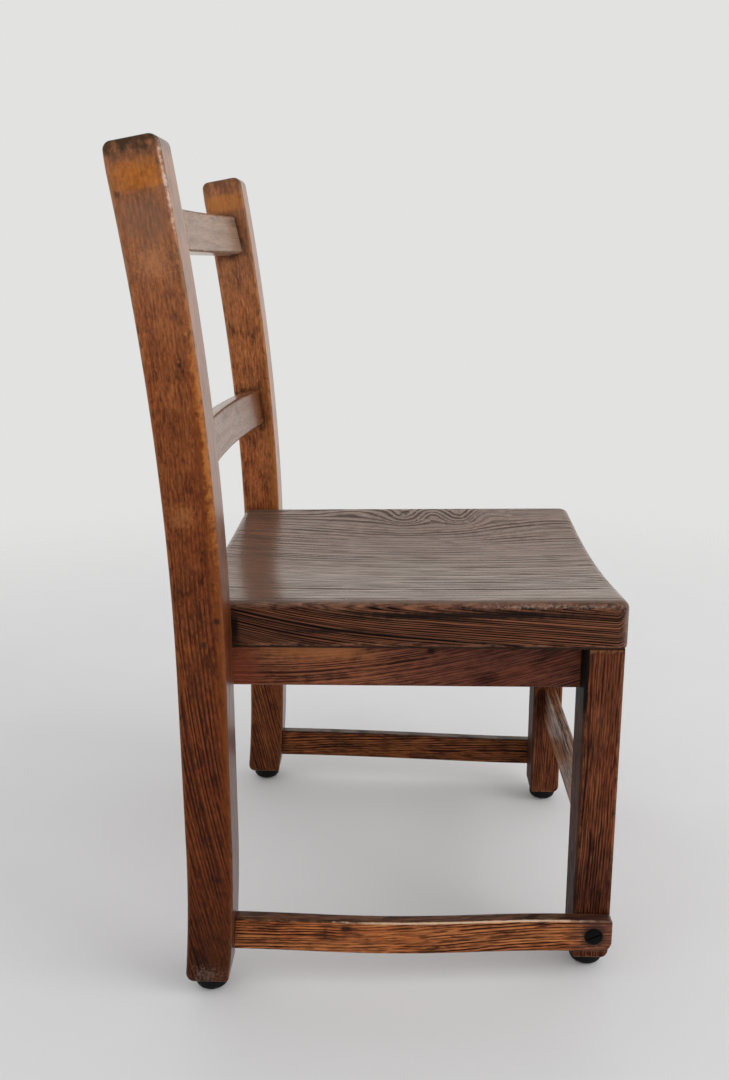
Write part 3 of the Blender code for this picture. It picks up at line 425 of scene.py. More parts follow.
class RailWood(bpy.types.PropertyGroup):
    """Finish of the back rails."""
    __annotations__ = wood_look(
        "rails", deep=(0.11, 0.054, 0.028), middle=(0.2, 0.106, 0.058), light=(0.25, 0.14, 0.082),
        worn=(0.03, 0.015, 0.01), ring=0.003, wander=0.0035, figure=0.17, pores=0.15, flecks=0.25,
        roughness=0.24, gloss=1.0, side_gloss=1.0, wear=0.0016, mottle=1.0, patch=0.03, fleck_run=0.019,
        open_grain=0.8)


class SeatWood(bpy.types.PropertyGroup):
    """Finish of the seat board."""
    __annotations__ = wood_look(
        "seat", deep=(0.005, 0.0022, 0.0014), middle=(0.1, 0.0345, 0.0162), light=(0.27, 0.104, 0.048),
        worn=(0.23, 0.105, 0.064), ring=0.004, wander=0.0026, figure=1.0, pores=0.6, flecks=0.4,
        roughness=0.22, gloss=1.0, side_gloss=0.1, wear=0.005, mottle=0.55, patch=0.03, fleck_run=0.019,
        open_grain=1.0)


class LegWood(bpy.types.PropertyGroup):
    """Finish of the front legs."""
    __annotations__ = wood_look(
        "legs", deep=(0.013, 0.0036, 0.0018), middle=(0.122, 0.0328, 0.0127), light=(0.205, 0.066, 0.0265),
        worn=(0.23, 0.09, 0.036), ring=0.002, wander=0.004, figure=0.64, pores=0.55, flecks=0.45,
        roughness=0.4, gloss=0.15, side_gloss=0.2, wear=0.003, mottle=0.9, patch=0.03, fleck_run=0.015,
        open_grain=0.8)


class ApronWood(bpy.types.PropertyGroup):
    """Finish of the aprons under the seat."""
    __annotations__ = wood_look(
        "aprons", deep=(0.02, 0.0056, 0.0032), middle=(0.202, 0.067, 0.0325), light=(0.3, 0.106, 0.044),
        worn=(0.22, 0.082, 0.04), ring=0.0022, wander=0.003, figure=0.5, pores=0.45, flecks=0.35,
        roughness=0.36, gloss=0.7, side_gloss=0.1, wear=0.0016, mottle=0.75, patch=0.026, fleck_run=0.01,
        open_grain=0.8)


class StretcherWood(bpy.types.PropertyGroup):
    """Finish of the stretchers."""
    __annotations__ = wood_look(
        "stretchers", deep=(0.024, 0.0066, 0.0026), middle=(0.345, 0.11, 0.036), light=(0.52, 0.198, 0.061),
        worn=(0.48, 0.24, 0.11), ring=0.0026, wander=0.006, figure=0.68, pores=0.65, flecks=0.55,
        roughness=0.3, gloss=0.9, side_gloss=0.1, wear=0.0018, mottle=1.0, patch=0.03, fleck_run=0.017,
        open_grain=0.8)


class Fittings(bpy.types.PropertyGroup):
    """Finish of the small parts."""
    rubber: colour("Rubber", "Colour of the feet", (0.004, 0.004, 0.0045))
    steel: colour("Steel", "Colour of the blackened screws", (0.010, 0.0095, 0.0095))
    block: colour("Blocks", "Colour of the bare corner blocks", (0.330, 0.205, 0.105))


class Studio(bpy.types.PropertyGroup):
    """Floor, background and light."""
    floor: colour("Floor", "Colour of the floor", (0.845, 0.845, 0.850))
    background: colour("Background", "Colour behind the chair", (0.760, 0.760, 0.755))
    dim_side: colour("Dim side", "Colour of the room on the chair's right", (0.120, 0.118, 0.115))
    sky: FloatProperty(name="Soft light", description="Strength of the light from all round", default=0.86,
                       min=0.0, max=2.0)
    key: FloatProperty(name="Window light", description="Power of the large soft lamp", default=19.0,
                       min=0.0, max=200.0, unit="POWER")


# Shader maths
class Value:
    """One output of a finish's nodes, so that shader maths reads as plain expressions."""

    def __init__(self, finish, socket):
        self.finish = finish
        self.socket = socket

    def _with(self, operation, first, second):
        return self.finish.node("ShaderNodeMath", {"operation": operation}, {0: first, 1: second})

    def __add__(self, other):
        return self._with("ADD", self, other)

    def __sub__(self, other):
        return self._with("SUBTRACT", self, other)

    def __rsub__(self, other):
        return self._with("SUBTRACT", other, self)

    def __mul__(self, other):
        return self._with("MULTIPLY", self, other)

    def __truediv__(self, other):
        return self._with("DIVIDE", self, other)

    __radd__ = __add__
    __rmul__ = __mul__


class Finish:
    """A node tree that is written as expressions."""

    def __init__(self, tree):
        self.tree = tree
        self.tree.nodes.clear()

    def node(self, kind, settings, values, output=0):
        """Add a node: its settings first, then the values or links of its sockets."""
        node = self.tree.nodes.new(kind)
        for name, setting in settings.items():
            setattr(node, name, setting)
        for socket, value in values.items():
            if isinstance(value, Value):
                self.tree.links.new(value.socket, node.inputs[socket])
            else:
                node.inputs[socket].default_value = value
        return Value(self, node.outputs[output]) if node.outputs else None

    def attribute(self, name):
        """A vector that the mesh carries."""
        return self.node("ShaderNodeAttribute", {"attribute_name": name}, {}, "Vector")

    def scaled(self, vector, scale):
        """A vector stretched along each axis."""
        return self.node("ShaderNodeVectorMath", {"operation": "MULTIPLY"}, {0: vector, 1: scale})

    def moved(self, vector, step):
        """A vector with another added."""
        return self.node("ShaderNodeVectorMath", {"operation": "ADD"}, {0: vector, 1: step})

    def reach(self, vector):
        """The length of a vector."""
        return self.node("ShaderNodeVectorMath", {"operation": "LENGTH"}, {0: vector}, "Value")

    def cloud(self, vector, scale, detail=2.0, roughness=0.5, output=0):
        """Soft noise at a scale given for each axis."""
        sockets = {"Vector": self.scaled(vector, scale), "Scale": 1.0, "Detail": detail,
                   "Roughness": roughness}
        return self.node("ShaderNodeTexNoise", {}, sockets, output)

    def step(self, value, low, high):
        """A smooth step from 0 at low to 1 at high."""
        return self.node("ShaderNodeMapRange", {"interpolation_type": "SMOOTHSTEP"},
                         {0: value, 1: low, 2: high, 3: 0.0, 4: 1.0})

    def pick(self, operation, first, second=0.0):
        """A Math node that has no operator of its own."""
        return self.node("ShaderNodeMath", {"operation": operation}, {0: first, 1: second})

    def mix(self, first, second, factor, blend="MIX"):
        """One colour laid over another."""
        settings = {"data_type": "RGBA", "blend_type": blend}
        sockets = {0: factor, 6: opaque(first), 7: opaque(second)}
        return self.node("ShaderNodeMix", settings, sockets, 2)

    def parts(self, vector):
        """The three numbers of a vector."""
        split = self.node("ShaderNodeSeparateXYZ", {}, {0: vector}).socket.node
        return [Value(self, socket) for socket in split.outputs]


def opaque(tone):
    """A colour with its alpha, or a link as it is."""
    return tone if isinstance(tone, Value) else (*tone[:3], 1.0)


def new_finish(name):
    """An empty material with its nodes ready to be written."""
    material = bpy.data.materials.new(name)
    material.use_nodes = True
    return material, Finish(material.node_tree)


def surface(finish, values):
    """Send the finished values to a Principled shader and the material's output."""
    shader = finish.node("ShaderNodeBsdfPrincipled", {}, values)
    finish.node("ShaderNodeOutputMaterial", {}, {"Surface": shader})


def edge_distance(finish, spot, half):
    """Distance from a point on a board's surface to its nearest edge."""
    gaps = [size - finish.pick("ABSOLUTE", part) for size, part in zip(half, finish.parts(spot))]
    nearer = finish.pick("MINIMUM", gaps[0], gaps[1])
    farther = finish.pick("MAXIMUM", gaps[0], gaps[1])
    return finish.pick("MAXIMUM", nearer, finish.pick("MINIMUM", farther, gaps[2]))


def growth_rings(finish, grain, look):
    """Dark open-pored line at the start of each growth ring, uneven by year, and a few pale lines."""
    bent = grain
    for scale, roughness, share_of_wander in ((STRAY_SCALE, 0.5, 2.0), (RIPPLE_SCALE, 0.6, 0.5)):
        stray = finish.moved(finish.cloud(grain, scale, 2.0, roughness, 1), (-0.5, -0.5, -0.5))
        bent = finish.moved(bent, finish.scaled(stray, (look.wander * share_of_wander,) * 3))
    even = finish.reach(finish.scaled(bent, (1.0, 1.0, 0.0))) / look.ring
    seasons = finish.node("ShaderNodeTexNoise", {"noise_dimensions": "1D"},
                          {"W": even * 0.35, "Scale": 1.0, "Detail": 1.0, "Roughness": 0.5})
    count = even + seasons * 1.6
    through = finish.pick("FRACT", count)
    line = finish.step(through, 0.0, 0.10) * (1.0 - finish.step(through, 0.28, 0.62))
    year = finish.node("ShaderNodeTexWhiteNoise", {"noise_dimensions": "1D"},
                       {"W": finish.pick("FLOOR", count)})
    groups = finish.step(finish.cloud(grain, BREAK_GROUP_SCALE, 2.0, 0.5), 0.36, 0.56)
    breaks = finish.step(finish.cloud(grain, BREAK_SCALE, 2.0, 0.6), 0.24, 0.50) * (0.45 + groups * 0.55)
    pale = finish.step(through, 0.55, 0.70) * (1.0 - finish.step(through, 0.78, 0.98))
    quiet = 1.0 - finish.step(year, 0.20, 0.40)
    return line * (0.60 + year * 0.90) * breaks, pale * quiet * breaks


def box_reach(finish, vector):
    """How far out a point lies in a box with well-rounded corners: 1 at its faces."""
    return finish.pick("SQRT", finish.reach(finish.scaled(vector, vector)))


def wood(name, look, half, marks=(), fade=0.0, side_gloss=None):
    """Polished open-grained timber with worn edges; marks are soft stains, rubbed patches, painted shade or
    painted highlights at set places.

    Fade is how far the growth rings die away towards the timber's upper end. Side gloss is the share of the
    polish left on the timber's side faces, where it isn't the look's own.
    """
    material, finish = new_finish(name)
    spot = finish.attribute("timber")
    grain = finish.attribute("grain")
    rings, pale = growth_rings(finish, grain, look)
    mottle = finish.cloud(grain, (MOTTLE_FINENESS, MOTTLE_FINENESS, 1.0 / look.patch), 4.0, 0.65)
    flecks = finish.cloud(grain, (FLECK_FINENESS, FLECK_FINENESS, 1.0 / look.fleck_run), 3.0, 0.65)
    drift = finish.cloud(grain, DRIFT_SCALE, 2.0, 0.5)
    pores = finish.step(finish.cloud(grain, PORE_SCALE, 1.0, 0.5), 0.53, 0.64)
    tone = finish.mix(look.middle, look.deep, finish.step(1.0 - mottle, 0.48, 0.73) * look.mottle)
    tone = finish.mix(tone, look.light, finish.step(mottle, 0.50, 0.74) * look.mottle * 0.8)
    tone = finish.mix(tone, RUDDY, finish.step(drift, 0.47, 0.62) * 0.6, "MULTIPLY")
    tone = finish.mix(tone, look.light, finish.step(flecks, *FLECK_LIMITS) * look.flecks)
    tone = finish.mix(tone, look.deep, finish.step(1.0 - flecks, *FLECK_LIMITS) * look.flecks)
    across, _, along = finish.parts(spot)
    side = finish.step(finish.pick("ABSOLUTE", across), half[0] - SIDE_FACE_DEPTH, half[0])
    faded = 1.0 - finish.step(along, *FIGURE_FADE_REACH) * fade
    figure = faded * (1.0 + side * SIDE_FIGURE_BOOST) * look.figure
    dark = finish.pick("MINIMUM", rings * figure, 1.0)
    tone = finish.mix(tone, look.deep, dark)
    tone = finish.mix(tone, look.light, pale * figure * 0.5)
    tone = finish.mix(tone, [part * 0.4 for part in look.deep], pores * look.pores)
    rub = finish.cloud(spot, RUB_SCALE, 3.0, 0.6)
    inward = edge_distance(finish, spot, half)
    worn = 1.0 - finish.step(inward + (rub - 0.5) * look.wear * 2.2, look.wear * 0.2, look.wear)
    tone = finish.mix(tone, look.worn, worn * 0.5)
    grime = finish.step(finish.cloud(spot, GRIME_SCALE, 3.0, 0.65), 0.50, 0.62)
    chips = grime * (1.0 - finish.step(inward, look.wear * 0.5, look.wear * 1.6))
    tone = finish.mix(tone, [part * 0.5 for part in look.deep], chips * 0.6)
    bare = 1.0
    # Each mark lays a stained or rubbed patch, painted shade or a painted highlight over the tone
    for stain_and_painted_light in marks:
        away = finish.scaled(finish.moved(spot, tuple(-place for place in stain_and_painted_light["at"])),
                             tuple(1.0 / size for size in stain_and_painted_light["size"]))
        edge = (finish.cloud(spot, (stain_and_painted_light["grit"],) * 3, 3.0, 0.6) - 0.5) * stain_and_painted_light["ragged"]
        cover = (1.0 - finish.step(box_reach(finish, away) + edge, stain_and_painted_light["core"], 1.0)) * stain_and_painted_light["strength"]
        tone = finish.mix(tone, stain_and_painted_light["tone"], cover, stain_and_painted_light["blend"])
        if stain_and_painted_light["matt"]:
            bare = (1.0 - cover * stain_and_painted_light["matt"]) * bare
    hidden = finish.pick("MAXIMUM", pores * look.pores, dark) * look.open_grain
    left = look.side_gloss if side_gloss is None else side_gloss
    polish = (1.0 - hidden) * (1.0 - side * (1.0 - left)) * look.gloss * bare
    dull = 0.50 + pores * 0.2 + (flecks - 0.5) * 0.3
    relief = (1.0 - pores) * 0.6 - rings * 0.5 + flecks * 0.35
    bump = finish.node("ShaderNodeBump", {}, {**WOOD_RELIEF, "Height": relief})
    surface(finish, {"Base Color": tone, "Roughness": dull, "Normal": bump,
                     "Specular IOR Level": WOOD_SPECULAR, "Coat Weight": polish,
                     "Coat Roughness": look.roughness})
    return material


def bare_wood(name, tone):
    """Pale unpolished wood of the hidden blocks."""
    material, finish = new_finish(name)
    place = finish.node("ShaderNodeTexCoord", {}, {}, "Object")
    fibres = finish.cloud(place, FIBRE_SCALE, 3.0, 0.6)
    bands = finish.cloud(place, BAND_SCALE, 2.0, 0.5)
    shade = finish.mix([part * 0.55 for part in tone], tone, finish.step(bands, 0.3, 0.65))
    shade = finish.mix(shade, [part * 0.5 for part in tone], finish.step(fibres, 0.55, 0.75) * 0.5)
    bump = finish.node("ShaderNodeBump", {}, {"Strength": 0.35, "Distance": 0.0004, "Height": fibres})
    surface(finish, {"Base Color": shade, "Roughness": 0.62 + fibres * 0.2, "Normal": bump})
    return material


def rubber(name, tone):
    """Matt black rubber with dust in its fine grain."""
    material, finish = new_finish(name)
    place = finish.node("ShaderNodeTexCoord", {}, {}, "Object")
    grit = finish.cloud(place, (RUBBER_GRIT,) * 3, 2.0, 0.6)
    dust = finish.cloud(place, (RUBBER_DUST,) * 3, 3.0, 0.6)
    shade = finish.mix(tone, [part * 3.0 for part in tone], finish.step(dust, 0.50, 0.80) * 0.6)
    bump = finish.node("ShaderNodeBump", {}, {"Strength": 0.25, "Distance": 0.0002, "Height": grit})
    surface(finish, {"Base Color": shade, "Roughness": 0.52 + dust * 0.25, "Normal": bump,
                     "Specular IOR Level": 0.15})
    return material


def blackened_steel(name, tone):
    """Old dark screws with dull tarnish and scratches of rust."""
    material, finish = new_finish(name)
    place = finish.node("ShaderNodeTexCoord", {}, {}, "Object")
    tarnish = finish.cloud(place, (TARNISH_FINENESS,) * 3, 3.0, 0.65)
    rust = finish.step(finish.cloud(place, SCRATCH_SCALE, 2.0, 0.6), 0.58, 0.80)
    shade = finish.mix(tone, [part * 3.0 for part in tone], finish.step(tarnish, 0.52, 0.78))
    shade = finish.mix(shade, RUST, rust * 0.5)
    bump = finish.node("ShaderNodeBump", {}, {"Strength": 0.30, "Distance": 0.0002, "Height": tarnish})
    surface(finish, {"Base Color": shade, "Roughness": 0.42 + tarnish * 0.3, "Normal": bump,
                     "Metallic": 1.0 - rust * 0.8})
    return material


# Shapes that several pieces share
def box(low, high):
    """A box between two corners."""
    low = Vector(low)
    high = Vector(high)
    bm = bmesh.new()
    place = Matrix.Translation((low + high) / 2) @ Matrix.Diagonal((*(high - low), 1.0))
    bmesh.ops.create_cube(bm, size=1.0, matrix=place)
    bm.normal_update()
    return bm


def round_edges(bm, edges, radius, segments):
    """Round the given edges."""
    bmesh.ops.bevel(bm, geom=list(edges), offset=radius, segments=segments, profile=0.5, affect="EDGES",
                    material=-1)
    bm.normal_update()


def slice_across(bm, axis, places):
    """Cut rings of edges through a mesh at places along one axis."""
    normal = Vector((0, 0, 0))
    normal[axis] = 1
    for place in places:
        everything = bm.verts[:] + bm.edges[:] + bm.faces[:]
        bmesh.ops.bisect_plane(bm, geom=everything, dist=TOUCH, plane_co=normal * place, plane_no=normal)


def spread(low, high, count):
    """Evenly spaced places strictly between two limits."""
    return [low + (high - low) * step / (count + 1) for step in range(1, count + 1)]


def edges_at(bm, **levels):
    """Edges whose two ends both lie at the given levels of x, y or z."""
    return [
        edge for edge in bm.edges
        if all(abs(getattr(vert.co, axis) - level) < TOUCH for vert in edge.verts
               for axis, level in levels.items())
    ]


def edges_along(bm, axis):
    """Edges that run along one axis."""
    return [
        edge for edge in bm.edges
        if abs((edge.verts[0].co - edge.verts[1].co).normalized()[axis]) > SQUARE
    ]


def edges_round_faces(bm, axis):
    """Edges round the faces that look along one axis."""
    return {edge for face in bm.faces if abs(face.normal[axis]) > SQUARE for edge in face.edges}


def mark_timber(bm, along, middle, heart, lean=(0.0, 0.0)):
    """Keep each point's place in the straight board: from its middle, and from the leaning tree's heart."""
    place = bm.verts.layers.float_vector.new("timber")
    grain = bm.verts.layers.float_vector.new("grain")
    order = [axis for axis in range(3) if axis != along] + [along]
    for vert in bm.verts:
        local = vert.co - Vector(middle)
        spot = Vector([local[axis] for axis in order])
        vert[place] = spot
        vert[grain] = spot - Vector(heart) + spot.z * Vector((*lean, 0))


def wear_edges(bm, half, radius, depth, along, seed, dents=()):
    """Rub a board's long rounded edges unevenly, with a few deeper dents at set places."""
    place = bm.verts.layers.float_vector["timber"]
    cross = [axis for axis in range(3) if axis != along]
    for vert in bm.verts:
        spot = vert[place]
        inside = 1 - max(half[0] - abs(spot.x), half[1] - abs(spot.y)) / radius
        if inside <= 0:
            continue
        ripple = noise.noise(Vector((spot.x, spot.y, spot.z)) * EDGE_RIPPLE + Vector((0, 0, seed)))
        cut = depth * (0.5 + 0.5 * ripple)
        for dent in dents:
            away = (spot - Vector(dent["at"])).length / dent["size"]
            cut += dent["depth"] * math.exp(-away * away)
        for axis, part in zip(cross, spot):
            vert.co[axis] -= math.copysign(cut * inside, part)


def add_piece(name, bm, node, material):
    """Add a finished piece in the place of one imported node."""
    bmesh.ops.recalc_face_normals(bm, faces=bm.faces)
    mesh = bpy.data.meshes.new(name)
    bm.to_mesh(mesh)
    bm.free()
    mesh.shade_smooth()
    mesh.set_sharp_from_angle(angle=SMOOTH_ANGLE)
    mesh.materials.append(material)
    piece = bpy.data.objects.new(name, mesh)
    bpy.context.scene.collection.objects.link(piece)
    shading = piece.modifiers.new("even_shading", "WEIGHTED_NORMAL")
    shading.keep_sharp = True
    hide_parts(node)
    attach(piece, "root")


def refinish(node, material):
    """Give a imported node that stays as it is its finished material."""
    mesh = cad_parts[node].data
    mesh.materials.clear()
    mesh.materials.append(material)


def turned(profile, sides):
    """Turn a closed profile of radius and height about Z."""
    bm = bmesh.new()
    verts = [bm.verts.new((radius, 0, height)) for radius, height in profile]
    for first, second in zip(verts, verts[1:] + verts[:1]):
        if first.co.x > 0 or second.co.x > 0:
            bm.edges.new((first, second))
    bmesh.ops.spin(bm, geom=bm.verts[:] + bm.edges[:], cent=(0, 0, 0), axis=(0, 0, 1), angle=2 * math.pi,
                   steps=sides, use_merge=True)
    bmesh.ops.remove_doubles(bm, verts=bm.verts, dist=TOUCH)
    bmesh.ops.recalc_face_normals(bm, faces=bm.faces)
    return bm


def shoulders(node, along, tenon):
    """A packed rail's corners without its tenons."""
    low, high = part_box(node)
    low[along] += tenon
    high[along] -= tenon
    return low, high


def board(low, high, along, ease, slices, heart, seed, lean=(0.0, 0.0)):
    """A straight board with rounded long edges, its grain along one axis."""
    bm = box(low, high)
    round_edges(bm, edges_along(bm, along), ease, EDGE_SEGMENTS)
    slice_across(bm, along, spread(low[along], high[along], slices))
    mark_timber(bm, along, (low + high) / 2, heart, lean)
    wear_edges(bm, half_sizes(low, high, along), ease, EDGE_RUB, along, seed)
    return bm


def bend_figure(bm, curve):
    """Let a board's figure bend along its length."""
    place = bm.verts.layers.float_vector["timber"]
    grain = bm.verts.layers.float_vector["grain"]
    for vert in bm.verts:
        vert[grain] += Vector((0, curve * vert[place].z ** 2, 0))


def half_sizes(low, high, along):
    """Half of a board's width, thickness and length."""
    order = [axis for axis in range(3) if axis != along] + [along]
    return [(high[axis] - low[axis]) / 2 for axis in order]


# The shape of a back post, by height
def post_depth(z):
    """Front-to-back depth of the post at a height."""
    rise = (z - WOOD_BOTTOM) / (BACK_HEIGHT - WOOD_BOTTOM)
    return POST_FOOT_DEPTH + (POST_TOP_DEPTH - POST_FOOT_DEPTH) * rise


def post_slope(z):
    """How fast the raked part of the post runs back as it rises."""
    return max(0.0, z - BACK_SWEEP_START) / BACK_SWEEP_RADIUS


def post_centre(z):
    """Middle line of the post: the back sweeps above the seat and the foot kicks back below it."""
    straight = SEAT_DEPTH + POST_PROUD - post_depth(SEAT_HEIGHT) / 2
    back = max(0.0, z - BACK_SWEEP_START)
    foot = max(0.0, FOOT_SWEEP_HEIGHT - z)
    return straight + back ** 2 / (2 * BACK_SWEEP_RADIUS) + foot ** 2 / (2 * FOOT_SWEEP_RADIUS)


def foot_taper(z):
    """How far the front of the post is worn back below the side stretcher."""
    return FOOT_TAPER * max(0.0, (FOOT_TAPER_TOP - z) / (FOOT_TAPER_TOP - WOOD_BOTTOM))


def top_wear(z):
    """How far the back of the post is worn in near its top."""
    rise = (z - (BACK_HEIGHT - POST_TOP_WEAR_HEIGHT)) / POST_TOP_WEAR_HEIGHT
    return POST_TOP_WEAR * max(0.0, rise) ** 2


def post_front(z):
    """Front face of the post at a height."""
    return post_centre(z) - post_depth(z) / 2 + foot_taper(z)


def shape_post(bm):
    """Sweep a straight post blank to the line of the back and wear its foot and top."""
    for vert in bm.verts:
        z = vert.co.z
        local = vert.co.y * post_depth(z) / POST_FOOT_DEPTH
        worn = foot_taper(z) if local < 0 else top_wear(z)
        vert.co.y = post_centre(z) + local * (1 - 2 * worn / post_depth(z))
        vert.co.z = z - post_slope(z) * local


def make_post(side, dents, material):
    """One back post, in its place."""
    half = Vector(((POST_HIGH.x - POST_LOW.x) / 2, POST_FOOT_DEPTH / 2, (BACK_HEIGHT - WOOD_BOTTOM) / 2))
    middle = Vector((0, 0, (BACK_HEIGHT + WOOD_BOTTOM) / 2))
    bm = box(middle - half, middle + half)
    rounds = (
        (POST_TOP_FRONT_ROUND, BACK_HEIGHT, -half.y, POST_TOP_FRONT_SEGMENTS),
        (POST_TOP_REAR_ROUND, BACK_HEIGHT, half.y, POST_TOP_REAR_SEGMENTS),
        (POST_FOOT_CHAMFER, WOOD_BOTTOM, -half.y, 1),
        (POST_HEEL_ROUND, WOOD_BOTTOM, half.y, POST_HEEL_SEGMENTS),
    )
    for radius, level, place, segments in rounds:
        round_edges(bm, edges_at(bm, z=level, y=place), radius, segments)
    round_edges(bm, edges_round_faces(bm, 0), POST_EASE, EDGE_SEGMENTS)
    slice_across(bm, 2, [FOOT_TAPER_TOP] + spread(FOOT_TAPER_TOP, BACK_HEIGHT, POST_SLICES))
    mark_timber(bm, 2, middle, POST_HEARTS[side], POST_LEAN)
    grain = bm.verts.layers.float_vector["grain"]
    for vert in bm.verts:
        below = max(0.0, POST_RUN_OUT_START - (vert.co.z - middle.z))
        vert[grain] += Vector((0, POST_RUN_OUT * below ** 2, 0))
    wear_edges(bm, half, POST_EASE, EDGE_RUB, 2, POST_SEEDS[side], dents)
    shape_post(bm)
    across = SIDES[side] * (POST_LOW.x + POST_HIGH.x) / 2
    bmesh.ops.translate(bm, verts=bm.verts, vec=(across, FRONT, 0))
    add_piece("swept_post_" + side, bm, "back_post_" + side, material)


def make_rail(name, rail, heart, material):
    """A bowed cross rail of the back between the posts."""
    half = Vector((POST_LOW.x - FIT, RAIL_THICKNESS / 2, RAIL_HEIGHT / 2))
    bm = board(-half, half, 0, RAIL_EASE, RAIL_SLICES, heart, rail["level"])
    level = rail["level"]
    lean = Matrix.Rotation(-math.atan(post_slope(level) + RAIL_LEAN), 4, "X")
    middle = FRONT + post_front(level) + RAIL_SETBACK + RAIL_THICKNESS / 2
    bmesh.ops.transform(bm, matrix=Matrix.Translation((0, middle, level)) @ lean, verts=bm.verts)
    for vert in bm.verts:
        vert.co.y += rail["bow"] * (1 - (vert.co.x / half.x) ** 2)
    add_piece("bowed_rail_" + name, bm, rail["node"], material)


def hollow(x, y):
    """How deep the seat is hollowed at a place."""
    half = SEAT_HIGH.x - SEAT_RIM
    across = max(0.0, 1 - (x / half) ** 2)
    back = min(max(y / SEAT_DEPTH, 0.0), 1.0)
    ends = HOLLOW_FRONT + (HOLLOW_REAR - HOLLOW_FRONT) * back
    middle = HOLLOW_MIDDLE - (HOLLOW_FRONT + HOLLOW_REAR) / 2
    return (ends + middle * 4 * back * (1 - back)) * across ** HOLLOW_STEEPNESS


def side_share(x):
    """How far a place on the seat lies round its edge on to the side face: from 0 to 1."""
    return min(max((abs(x) - SEAT_HIGH.x) / SEAT_TOP_EASE + 1, 0.0), 1.0)


def side_figure(x, run):
    """How far the figure slopes away along the seat's sides."""
    return side_share(x) * (SIDE_FIGURE_SLOPE * run + SIDE_FIGURE_CURVE * max(0.0, run) ** 2)


def knot_figure(x, run):
    """How far the figure swells round the knots near the seat's left edge."""
    swell = 0.0
    for knot in SEAT_KNOTS:
        across = (x - knot["at"][0]) / knot["size"][0]
        along = (run - knot["at"][1]) / knot["size"][1]
        swell += knot["rise"] * math.exp(-across * across - along * along)
    return swell


def make_seat(material):
    """The seat board, hollowed across its width and falling to the back."""
    low = Vector((SEAT_LOW.x, 0.0, SEAT_LOW.z))
    high = Vector((SEAT_HIGH.x, SEAT_DEPTH, SEAT_HEIGHT))
    bm = box(low, high)
    ends = ((0.0, SEAT_FRONT_CORNER, SEAT_FRONT_SEGMENTS), (SEAT_DEPTH, SEAT_REAR_CORNER, SEAT_REAR_SEGMENTS))
    for place, radius, segments in ends:
        corners = [edge for edge in edges_along(bm, 2) if abs(edge.verts[0].co.y - place) < TOUCH]
        round_edges(bm, corners, radius, segments)
    round_edges(bm, edges_at(bm, z=SEAT_HEIGHT), SEAT_TOP_EASE, SEAT_TOP_SEGMENTS)
    round_edges(bm, edges_at(bm, z=SEAT_LOW.z), SEAT_BOTTOM_EASE, SEAT_BOTTOM_SEGMENTS)
    turns = spread(-math.pi / 2, math.pi / 2, 2 * SEAT_SLICES_ACROSS - 1)
    slice_across(bm, 0, [high.x * math.sin(turn) for turn in turns])
    slice_across(bm, 1, spread(0.0, SEAT_DEPTH, SEAT_SLICES_ALONG))
    mark_timber(bm, 1, (low + high) / 2, SEAT_HEART)
    grain = bm.verts.layers.float_vector["grain"]
    for vert in bm.verts:
        run = vert.co.y - SEAT_DEPTH / 2
        through = (vert.co.z - (low.z + high.z) / 2) * side_share(vert.co.x) * SIDE_FIGURE_SPREAD
        vert[grain] += Vector((0, knot_figure(vert.co.x, run) - side_figure(vert.co.x, run) - through, 0))
        vert[grain].z *= SEAT_GRAIN_STRETCH
        rise = (vert.co.z - SEAT_LOW.z) / SEAT_THICKNESS
        fall = SEAT_FALL * vert.co.y / SEAT_DEPTH
        vert.co.z -= rise * (hollow(vert.co.x, vert.co.y) + fall)
    bmesh.ops.translate(bm, verts=bm.verts, vec=(0, FRONT, 0))
    add_piece("hollowed_seat", bm, "seat", material)


def make_leg(side, material):
    """One square front leg with a rounded toe."""
    low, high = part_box("front_leg_" + side)
    bm = box(low, high)
    ends = ((low.y, LEG_TOE, LEG_TOE_SEGMENTS), (high.y, LEG_EASE, LEG_HEEL_SEGMENTS))
    for place, radius, segments in ends:
        round_edges(bm, edges_at(bm, z=low.z, y=place), radius, segments)
    outline = [
        edge for edge in edges_round_faces(bm, 0)
        if any(abs(vert.co.z - high.z) > TOUCH for vert in edge.verts)
    ]
    round_edges(bm, outline, LEG_EASE, EDGE_SEGMENTS)
    slice_across(bm, 2, spread(low.z + LEG_TOE, high.z, LEG_SLICES))
    mark_timber(bm, 2, (low + high) / 2, LEG_HEARTS[side], LEG_LEAN)
    wear_edges(bm, half_sizes(low, high, 2), LEG_EASE, EDGE_RUB, 2, LEG_SEEDS[side])
    add_piece("square_leg_" + side, bm, "front_leg_" + side, material)


def stretcher_rear():
    """Where a side stretcher's shoulder stands, at the middle of its height."""
    middle = SIDE_STRETCHER_BOTTOM + SIDE_STRETCHER_HEIGHT / 2 + SIDE_STRETCHER_RISE
    return post_front(middle) - FIT


def stretcher_run(y):
    """How far along its free run a place on a side stretcher lies, from the leg to the post."""
    start = LEG_HIGH.y - FRONT
    return min(max((y - start) / (stretcher_rear() - start), 0.0), 1.0)


def stretcher_inner(side, y):
    """Inner face of a side stretcher: flat on the leg, then easing out and bowing on its way to the post."""
    run = stretcher_run(y)
    start = LEG_HIGH.x + FIT
    end = POST_LOW.x + SIDE_STRETCHER_SET_IN
    bow = SIDE_STRETCHER_BOW[side] * math.sin(math.pi * run) ** 2
    return start + (end - start) * run * run * (3 - 2 * run) + bow


